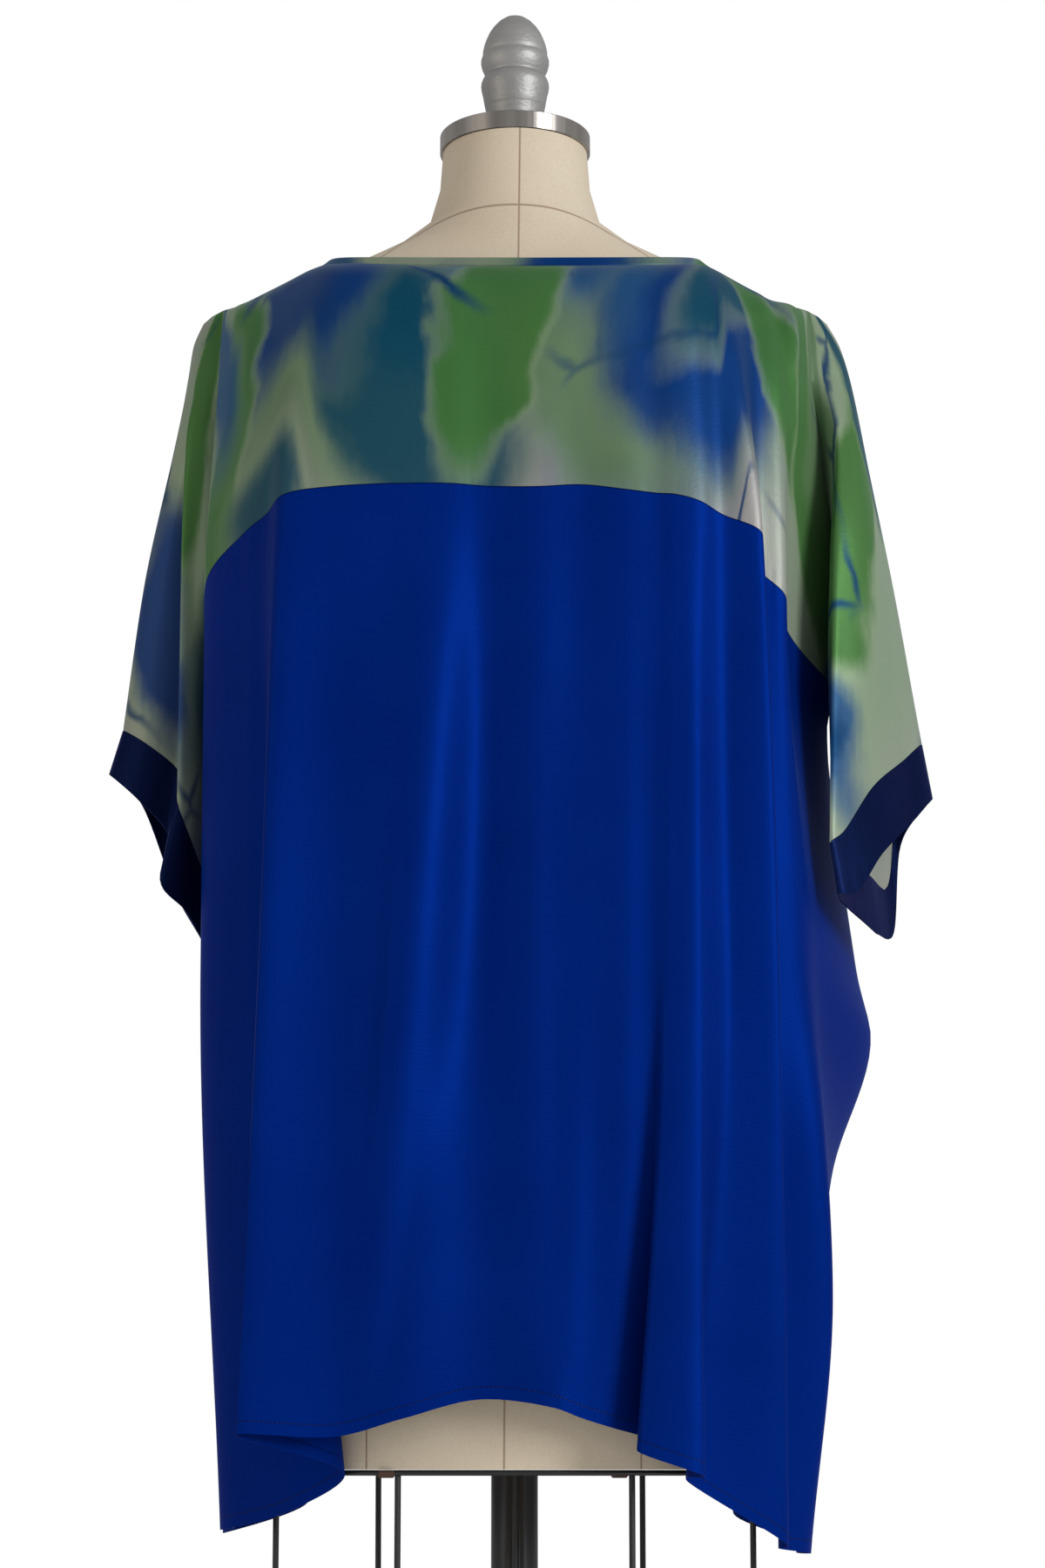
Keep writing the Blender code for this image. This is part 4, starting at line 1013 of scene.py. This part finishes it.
def sew_sheet(name, grid_names, thickness):
    """Close one piece's grids into a thin shell with its flat cut and edge distances as UV maps."""
    below = {}
    for grid_name in grid_names[1:]:
        for column, flat in zip(cloth.grids[grid_name], cloth.flat[grid_name]):
            below[column[0]] = flat[-1][1]
    bm = bmesh.new()
    cut_map = bm.loops.layers.uv.new("cut")
    edge_map = bm.loops.layers.uv.new("edge")
    outer, inner, faces, seen = {}, {}, [], {}
    for grid_name in grid_names:
        grid, flat = cloth.grids[grid_name], cloth.flat[grid_name]
        for quad in cloth.quads(grid_name):
            corners = [grid[c][r] for c, r in quad]
            maps = []
            for c, r in quad:
                u, v = flat[c][r]
                end = flat[c][-1][1]
                if grid_name == grid_names[0] and grid[c][-1] in below:
                    end = below[grid[c][-1]]
                maps.append(((u, v), (v, end - v)))
            faces.append((corners, maps))
            for a, b in zip(corners, corners[1:] + corners[:1]):
                seen[(a, b)] = len(faces) - 1
    border = [edge for edge in seen if (edge[1], edge[0]) not in seen]
    inward = {}
    for a, b in border:
        corners = faces[seen[(a, b)]][0]
        middle = sum((cloth.points[corner] for corner in corners), Vector()) / 4
        along = (cloth.points[b] - cloth.points[a]).normalized()
        pull = middle - cloth.points[a]
        pull -= along * pull.dot(along)
        if pull.length > 1e-7:
            for corner in (a, b):
                inward.setdefault(corner, []).append(pull.normalized())
    for corner in sorted({corner for corners, _ in faces for corner in corners}):
        place = cloth.points[corner].copy()
        pull = sum(inward.get(corner, []), Vector())
        if pull.length > 1e-6:
            place += pull.normalized() * (UNDERARM_STEP if corner in cloth.underarms else GAP * 0.5)
        half = cloth_normals[corner] * thickness * 0.5
        outer[corner] = bm.verts.new(place + half)
        inner[corner] = bm.verts.new(place - half)

    def add_face(verts, maps):
        """Add a face without its doubled corners, with both maps' places at each corner."""
        if len(set(verts)) < 3:
            return
        kept = [(vert, place) for k, (vert, place) in enumerate(zip(verts, maps)) if vert not in verts[:k]]
        face = bm.faces.new([vert for vert, _ in kept])
        for loop, (_, place) in zip(face.loops, kept):
            loop[cut_map].uv = place[0]
            loop[edge_map].uv = place[1]

    for corners, maps in faces:
        add_face([outer[corner] for corner in corners], maps)
        add_face([inner[corner] for corner in reversed(corners)], maps[::-1])
    for a, b in border:
        corners, maps = faces[seen[(a, b)]]
        at_a, at_b = maps[corners.index(a)], maps[corners.index(b)]
        add_face([outer[b], outer[a], inner[a], inner[b]], [at_b, at_a, at_a, at_b])
    return smooth_piece(name, bm, 75)


# ==================================================================== body panels
# Front and back are straight widths of cobalt silk crepe, sewn to the yoke above and to each other
# down the sides, with an 8 mm turned hem stitched by machine.


HEM_DEPTH = 0.0080


def edge_distances(tree):
    """Give how far each point lies along the cloth from the seam above it and from the edge below."""
    edges = add_node(tree, "ShaderNodeUVMap", {"uv_map": "edge"}).outputs["UV"]
    split = add_node(tree, "ShaderNodeSeparateXYZ", Vector=edges).outputs
    return split["X"], split["Y"]


def make_pucker():
    """Little gathers along the sewn edges and the doubled band of a turned hem, as a height."""
    tree, given, result = node_group("seam_pucker", {"Vector": None, "Hem": 0.0}, ["Height"])
    from_top, from_low = edge_distances(tree)
    near = add_math(tree, "MINIMUM", from_top, from_low)
    drawn = add_node(tree, "ShaderNodeMapping", Vector=given["Vector"], Scale=(130, 22, 1))
    gathers = add_noise(tree, drawn.outputs["Vector"], 1.0, 1.0)["Fac"]
    ripple = add_math(tree, "MULTIPLY", gathers, add_range(tree, near, (0.0, 0.022), (0.10, 0.0)))
    band = add_math(tree, "LESS_THAN", from_low, given["Hem"])
    plug(result, Height=add_math(tree, "MULTIPLY_ADD", band, 0.06, ripple))
    return tree


pucker_group = make_pucker()


def silk_cloth(name, shade, gloss, weave_size, lustre, shine_tint, hem=0.0):
    """Silk whose colour comes from the flat cut: shade(tree, place) gives it; threads follow the cut."""
    finish, tree, shader = shader_material(name)
    flat = add_node(tree, "ShaderNodeUVMap", {"uv_map": "cut"}).outputs["UV"]
    weave = place_group(tree, weave_group, Vector=flat, Fine=1.0 / weave_size, Long=0.1 / weave_size)
    threads = add_math(tree, "MULTIPLY_ADD", weave["Slub"], 1.4, weave["Height"])
    crumple = add_noise(tree, flat, 38.0, 3.0)["Fac"]
    sewn = place_group(tree, pucker_group, Vector=flat, Hem=hem)
    raised = add_math(tree, "MULTIPLY_ADD", crumple, 0.05, sewn["Height"])
    soft = add_node(tree, "ShaderNodeBump", Height=raised, Strength=1.0, Distance=0.004).outputs["Normal"]
    bump = add_node(tree, "ShaderNodeBump", Height=threads, Strength=0.30, Distance=0.00025, Normal=soft)
    tint = (*shine_tint, 1)
    plug(shader, Base_Color=shade(tree, flat), Roughness=gloss, Metallic=lustre,
         Normal=bump.outputs["Normal"], Specular_IOR_Level=0.05, Specular_Tint=tint, Sheen_Weight=0.06,
         Sheen_Roughness=0.35, Sheen_Tint=tint)
    return finish


def cobalt_shade(tree, place):
    """Deep even cobalt in broad clouds, with a dark line along the yoke seam and painted shade as a dark
    groove line along the hem's stitched line.
    """
    cloud = place_group(tree, mottle_group, Vector=place, Fine=300.0, Broad=9.0)["Patches"]
    tone = add_mix(tree, cloud, (0.0002, 0.0125, 0.150), (0.0004, 0.0190, 0.205))
    from_top, from_low = edge_distances(tree)
    # Painted shade: a dark groove line along the hem's stitched line is mixed into the colour, together with
    # a dark line along the yoke seam.
    hem_groove_shade = sewn_line(tree, add_math(tree, "SUBTRACT", from_low, HEM_DEPTH), 0.0009)
    both = add_math(tree, "MAXIMUM", hem_groove_shade, sewn_line(tree, from_top, 0.0012))
    return add_mix(tree, add_math(tree, "MULTIPLY", both, 0.6), tone, (0.0004, 0.004, 0.060))


def make_stitches():
    """A line of stitches: the given thread repeated at a pitch along the mesh's path."""
    tree = bpy.data.node_groups.new("stitch_line", "GeometryNodeTree")
    kinds = {"Path": "Geometry", "Pitch": "Float", "Thread": "Object", "Finish": "Material"}
    for label, kind in kinds.items():
        tree.interface.new_socket(label, in_out="INPUT", socket_type="NodeSocket" + kind)
    tree.interface.new_socket("Stitches", in_out="OUTPUT", socket_type="NodeSocketGeometry")
    given = tree.nodes.new("NodeGroupInput").outputs
    curve = add_node(tree, "GeometryNodeMeshToCurve", Mesh=given["Path"]).outputs["Curve"]
    points = add_node(tree, "GeometryNodeCurveToPoints", {"mode": "LENGTH"}, Curve=curve,
                      Length=given["Pitch"])
    thread = add_node(tree, "GeometryNodeObjectInfo", Object=given["Thread"])
    sewn = add_node(tree, "GeometryNodeInstanceOnPoints", Points=points.outputs["Points"],
                    Instance=thread.outputs["Geometry"], Rotation=points.outputs["Rotation"])
    real = add_node(tree, "GeometryNodeRealizeInstances", Geometry=sewn.outputs["Instances"])
    finished = add_node(tree, "GeometryNodeSetMaterial", Geometry=real.outputs["Geometry"],
                        Material=given["Finish"])
    plug(tree.nodes.new("NodeGroupOutput"), Stitches=finished.outputs["Geometry"])
    return tree


stitch_nodes = make_stitches()


def stitch_row(name, path, finish, pitch=0.0029, length=0.0010, thickness=0.00016):
    """Sew one row of stitches along the points of a path."""
    bm = bmesh.new()
    ends = [bm.verts.new(point) for point in path]
    for a, b in zip(ends, ends[1:]):
        bm.edges.new((a, b))
    line = new_piece(name + "_path", bm)
    bm = bmesh.new()
    bmesh.ops.create_uvsphere(bm, u_segments=8, v_segments=5, radius=1)
    bmesh.ops.scale(bm, vec=(thickness, thickness, length), verts=bm.verts)
    thread = new_piece(name + "_thread", bm)
    sewing = line.modifiers.new("sewing", "NODES")
    sewing.node_group = stitch_nodes
    settings = {"Pitch": pitch, "Thread": thread, "Finish": finish}
    for socket in stitch_nodes.interface.items_tree:
        if socket.name in settings:
            sewing[socket.identifier] = settings[socket.name]
    graph = bpy.context.evaluated_depsgraph_get()
    mesh = bpy.data.meshes.new_from_object(line.evaluated_get(graph))
    for spare in (line, thread):
        bpy.data.objects.remove(spare)
    mesh.name = name
    mesh.shade_smooth()
    return link_object(name, mesh)


def edge_path(grid_name, inset):
    """Points on a grid's outer face a set distance above its lower edge."""
    path = []
    for column, places in zip(cloth.grids[grid_name], cloth.flat[grid_name]):
        target = places[-1][1] - inset
        r = max(k for k, (_, v) in enumerate(places) if v <= target)
        share = (target - places[r][1]) / (places[r + 1][1] - places[r][1])
        normal = cloth_normals[column[r]]
        place = cloth.points[column[r]].lerp(cloth.points[column[r + 1]], share)
        path.append(place + normal * (CLOTH * 0.5))
    return path


hem_thread, _, thread_shader = shader_material("hem_thread")
plug(thread_shader, Base_Color=(0.0008, 0.0060, 0.070, 1), Roughness=0.55)
cobalt_silk = silk_cloth("cobalt_silk_crepe", cobalt_shade, gloss=0.48, weave_size=0.0011, lustre=0.26,
                         shine_tint=(0.02, 0.30, 1.0), hem=HEM_DEPTH)
for face in ("back", "front"):
    panel = sew_sheet("silk_body_" + face, ["body_" + face], CLOTH)
    finish_piece(panel, cobalt_silk, ["body_" + face])
    stitches = stitch_row("hem_stitches_" + face, edge_path("body_" + face, HEM_DEPTH)[2:-2], hem_thread)
    finish_piece(stitches, hem_thread)

# ==================================================================== yoke and sleeves
# Back and front yoke are cut in one with the short sleeves from hand-dyed silk: cloudy patches of
# green, teal, blue and grey lilac with paler bleeding edges.  The motifs are the maker's own here.


def make_dye_pool():
    """One pool of dye, a lopsided oval with bled edges: Mask is the dye, Halo its pale tide line."""
    numbers = {"Vector": None, "Centre": None, "Turn": None, "Size": None, "Softness": 0.2}
    tree, given, result = node_group("dye_pool", numbers, ["Mask", "Halo"])
    soft = given["Softness"]
    inside = add_node(tree, "ShaderNodeMapping", {"vector_type": "TEXTURE"}, Vector=given["Vector"],
                      Location=given["Centre"], Rotation=given["Turn"], Scale=given["Size"]).outputs["Vector"]
    reach = add_node(tree, "ShaderNodeVectorMath", {"operation": "LENGTH"}, i0=inside).outputs["Value"]
    beyond = add_math(tree, "SUBTRACT", 1.0, reach)
    low, wide = (add_math(tree, "MULTIPLY", soft, share) for share in (-1.0, 1.6))
    plug(result, Mask=add_range(tree, beyond, (low, soft)),
         Halo=add_range(tree, add_math(tree, "ABSOLUTE", beyond), (0.0, wide), (1.0, 0.0)))
    return tree


dye_group = make_dye_pool()
TIDE_COLOUR = (0.240, 0.330, 0.190)
LINE_COLOUR = (0.004, 0.040, 0.120)
DYE_COLOURS = {"pale_green": (0.235, 0.320, 0.205), "grey_green": (0.120, 0.200, 0.105),
               "leaf_green": (0.052, 0.160, 0.036), "sea_teal": (0.002, 0.056, 0.100),
               "deep_blue": (0.001, 0.032, 0.170), "mid_blue": (0.014, 0.072, 0.195)}
# Each pool of dye in the order it was put on, in metres of the flat cut: its middle across and
# down, lean in radians, half width and half length, softness of its edge, strength of its tide line.
Pool = namedtuple("Pool", "dye across down lean half_width half_length softness tide")
POOLS = [
    Pool("pale_green", -0.350, 0.170,  0.00, 0.160, 0.240, 0.50, 0.0),
    Pool("pale_green",  0.360, 0.180,  0.00, 0.170, 0.250, 0.50, 0.0),
    Pool("grey_green", -0.150, 0.090,  0.00, 0.110, 0.150, 0.50, 0.0),
    Pool("sea_teal",    0.105, 0.080,  0.20, 0.130, 0.160, 0.40, 0.0),
    Pool("mid_blue",   -0.020, 0.030,  1.20, 0.045, 0.170, 0.50, 0.0),
    Pool("sea_teal",   -0.112, 0.105, -0.40, 0.074, 0.135, 0.22, 0.4),
    Pool("deep_blue",  -0.168, 0.060,  0.55, 0.046, 0.100, 0.30, 0.2),
    Pool("grey_green",  0.020, 0.125, -0.50, 0.034, 0.080, 0.40, 0.3),
    Pool("leaf_green", -0.040, 0.070,  0.30, 0.029, 0.110, 0.20, 0.5),
    Pool("deep_blue",   0.116, 0.115, -0.45, 0.074, 0.105, 0.26, 0.3),
    Pool("sea_teal",    0.150, 0.035,  0.70, 0.040, 0.085, 0.25, 0.4),
    Pool("leaf_green",  0.198, 0.105, -0.40, 0.026, 0.090, 0.22, 0.5),
    Pool("mid_blue",    0.052, 0.030,  0.15, 0.016, 0.060, 0.60, 0.0),
    Pool("leaf_green", -0.250, 0.150,  0.15, 0.028, 0.120, 0.18, 0.6),
    Pool("mid_blue",   -0.300, 0.060, -0.50, 0.030, 0.100, 0.45, 0.2),
    Pool("sea_teal",   -0.355, 0.220,  0.30, 0.042, 0.110, 0.22, 0.5),
    Pool("leaf_green", -0.410, 0.090,  0.20, 0.030, 0.120, 0.18, 0.5),
    Pool("deep_blue",  -0.455, 0.230, -0.30, 0.030, 0.110, 0.35, 0.3),
    Pool("sea_teal",   -0.205, 0.280, -0.20, 0.040, 0.080, 0.30, 0.4),
    Pool("leaf_green",  0.262, 0.130, -0.25, 0.034, 0.150, 0.18, 0.6),
    Pool("grey_green",  0.325, 0.060,  0.40, 0.036, 0.090, 0.35, 0.3),
    Pool("mid_blue",    0.308, 0.260,  0.60, 0.015, 0.085, 0.50, 0.2),
    Pool("leaf_green",  0.395, 0.190,  0.30, 0.034, 0.120, 0.20, 0.5),
    Pool("sea_teal",    0.450, 0.070, -0.30, 0.034, 0.100, 0.25, 0.4),
    Pool("mid_blue",    0.380, 0.320, -0.50, 0.020, 0.070, 0.50, 0.2),
]


def dyed_shade(tree, place):
    """Pools of dye over undyed grey-lilac silk, with pale tide lines and a few thin folded-in lines."""
    drift = add_noise(tree, place, 9.0, 2.0)
    shove = add_vector_math(tree, "MULTIPLY_ADD", drift["Color"], (0.080, 0.090, 0.0), place)
    thread = add_node(tree, "ShaderNodeMapping", Vector=place, Scale=(190, 60, 60)).outputs["Vector"]
    bleed = add_noise(tree, thread, 1.0, 3.0)["Color"]
    soaking = add_vector_math(tree, "MULTIPLY_ADD", bleed, (0.007, 0.011, 0.0), shove)
    centred = add_vector_math(tree, "SUBTRACT", soaking, (0.0435, 0.0505, 0.0))
    level = add_vector_math(tree, "MULTIPLY", centred, (1.0, 1.0, 0.0))
    colour = add_mix(tree, drift["Fac"], (0.300, 0.262, 0.300), (0.400, 0.380, 0.350))
    for pool in POOLS:
        patch = place_group(tree, dye_group, Vector=level, Centre=(pool.across, pool.down, 0),
                            Turn=(0, 0, pool.lean), Size=(pool.half_width, pool.half_length, 1),
                            Softness=pool.softness)
        washed = add_math(tree, "MULTIPLY", patch["Halo"], pool.tide)
        coat = add_math(tree, "MULTIPLY", patch["Mask"], 0.92)
        colour = add_mix(tree, coat, add_mix(tree, washed, colour, TIDE_COLOUR), DYE_COLOURS[pool.dye])
    warp = add_noise(tree, place, 25.0, 3.0)["Color"]
    push = add_node(tree, "ShaderNodeVectorMath", {"operation": "SCALE"}, i0=warp, Scale=0.018)
    bent = add_vector_math(tree, "ADD", place, push.outputs[0])
    net = add_node(tree, "ShaderNodeTexVoronoi", {"feature": "DISTANCE_TO_EDGE"}, Vector=bent, Scale=6.3)
    crease = sewn_line(tree, net.outputs["Distance"], 0.034)
    keep = add_range(tree, add_noise(tree, place, 9.0, 1.0)["Fac"], (0.47, 0.62))
    return add_mix(tree, add_math(tree, "MULTIPLY", crease, keep), colour, LINE_COLOUR)


dyed_silk = silk_cloth("hand_dyed_silk", dyed_shade, gloss=0.46, weave_size=0.0011, lustre=0.30,
                       shine_tint=(0.80, 1.0, 1.0))
yokes = {}
for face in ("back", "front"):
    grids = ["yoke_" + face, "sleeve_" + face + "_left", "sleeve_" + face + "_right"]
    yokes[face] = sew_sheet("dyed_yoke_" + face, grids, CLOTH)
    finish_piece(yokes[face], dyed_silk, ["yoke_" + face])

# -------------------------------------------------------------------- neck binding and cuff bands
# The boat neck is bound with a folded strip of the yoke's silk.  Each sleeve ends in a navy satin
# band turned double, sewn on with its seam pressed up into the sleeve.
BINDING_THICKNESS = 0.0012
CUFF_THICKNESS = 0.0010
binding = sew_sheet("silk_neck_binding", ["neck_binding"], BINDING_THICKNESS)
finish_piece(binding, dyed_silk, ["neck_binding"])


def navy_shade(tree, place):
    """Navy in two close tones that drift over the band."""
    cloud = place_group(tree, mottle_group, Vector=place, Fine=300.0, Broad=20.0)["Patches"]
    return add_mix(tree, cloud, (0.0024, 0.0060, 0.0300), (0.0050, 0.0110, 0.0560))


navy_silk = silk_cloth("navy_satin", navy_shade, gloss=0.38, weave_size=0.0008, lustre=0.50,
                       shine_tint=(0.25, 0.40, 1.0))
for side in ("left", "right"):
    band = sew_sheet("satin_cuff_" + side, ["cuff_" + side], CUFF_THICKNESS)
    finish_piece(band, navy_silk, ["cuff_" + side])

# ==================================================================== studio
# A white sweep with one broad soft light high on the right, a weaker one on the left and an even
# white surround.  The lens stands level with the torso's rim, tilted up to centre the tunic.
bm = bmesh.new()
bmesh.ops.create_grid(bm, x_segments=1, y_segments=1, size=6.0)
floor_mesh = bpy.data.meshes.new("studio_floor")
bm.to_mesh(floor_mesh)
bm.free()
paper, _, paper_shader = shader_material("white_paper")
plug(paper_shader, Base_Color=(0.93, 0.93, 0.93, 1), Roughness=0.9)
floor_mesh.materials.append(paper)
studio_floor = link_object("studio_floor", floor_mesh)

LIT_HEIGHT = 1.20


def soft_light(name, place, size, power, colour):
    """A rectangular lamp that faces the middle of the tunic."""
    lamp = bpy.data.lights.new(name, "AREA")
    lamp.shape = "RECTANGLE"
    lamp.size, lamp.size_y = size
    lamp.energy = power
    lamp.color = colour
    light = link_object(name, lamp)
    light.location = place
    light.rotation_euler = (Vector((0, 0, LIT_HEIGHT)) - Vector(place)).to_track_quat("-Z", "Y").to_euler()


soft_light("key", (2.3, -2.1, 2.0), size=(1.1, 1.8), power=66, colour=(0.96, 0.98, 1.0))
soft_light("fill", (-2.4, -1.6, 1.5), size=(1.2, 2.0), power=12, colour=(1.0, 0.90, 0.78))

SURROUND_GLOW = 0.42
world = bpy.data.worlds.new("white_surround")
world.use_nodes = True
seen = add_node(world.node_tree, "ShaderNodeLightPath").outputs["Is Camera Ray"]
glow = add_range(world.node_tree, seen, after=(SURROUND_GLOW, 1.0), steps="LINEAR")
plug(world.node_tree.nodes["Background"], Color=(1, 1, 1, 1), Strength=glow)
bpy.context.scene.world = world
bpy.context.scene.view_settings.view_transform = "Standard"

lens = bpy.data.cameras.new("camera")
lens.lens = 85.0
lens.sensor_width = 36
camera = link_object("camera", lens)
camera.location = (0.0053, -2.5, 0.70)
camera.rotation_euler = (math.pi / 2 + math.atan(787 / 4250), 0, 0)
bpy.context.scene.camera = camera
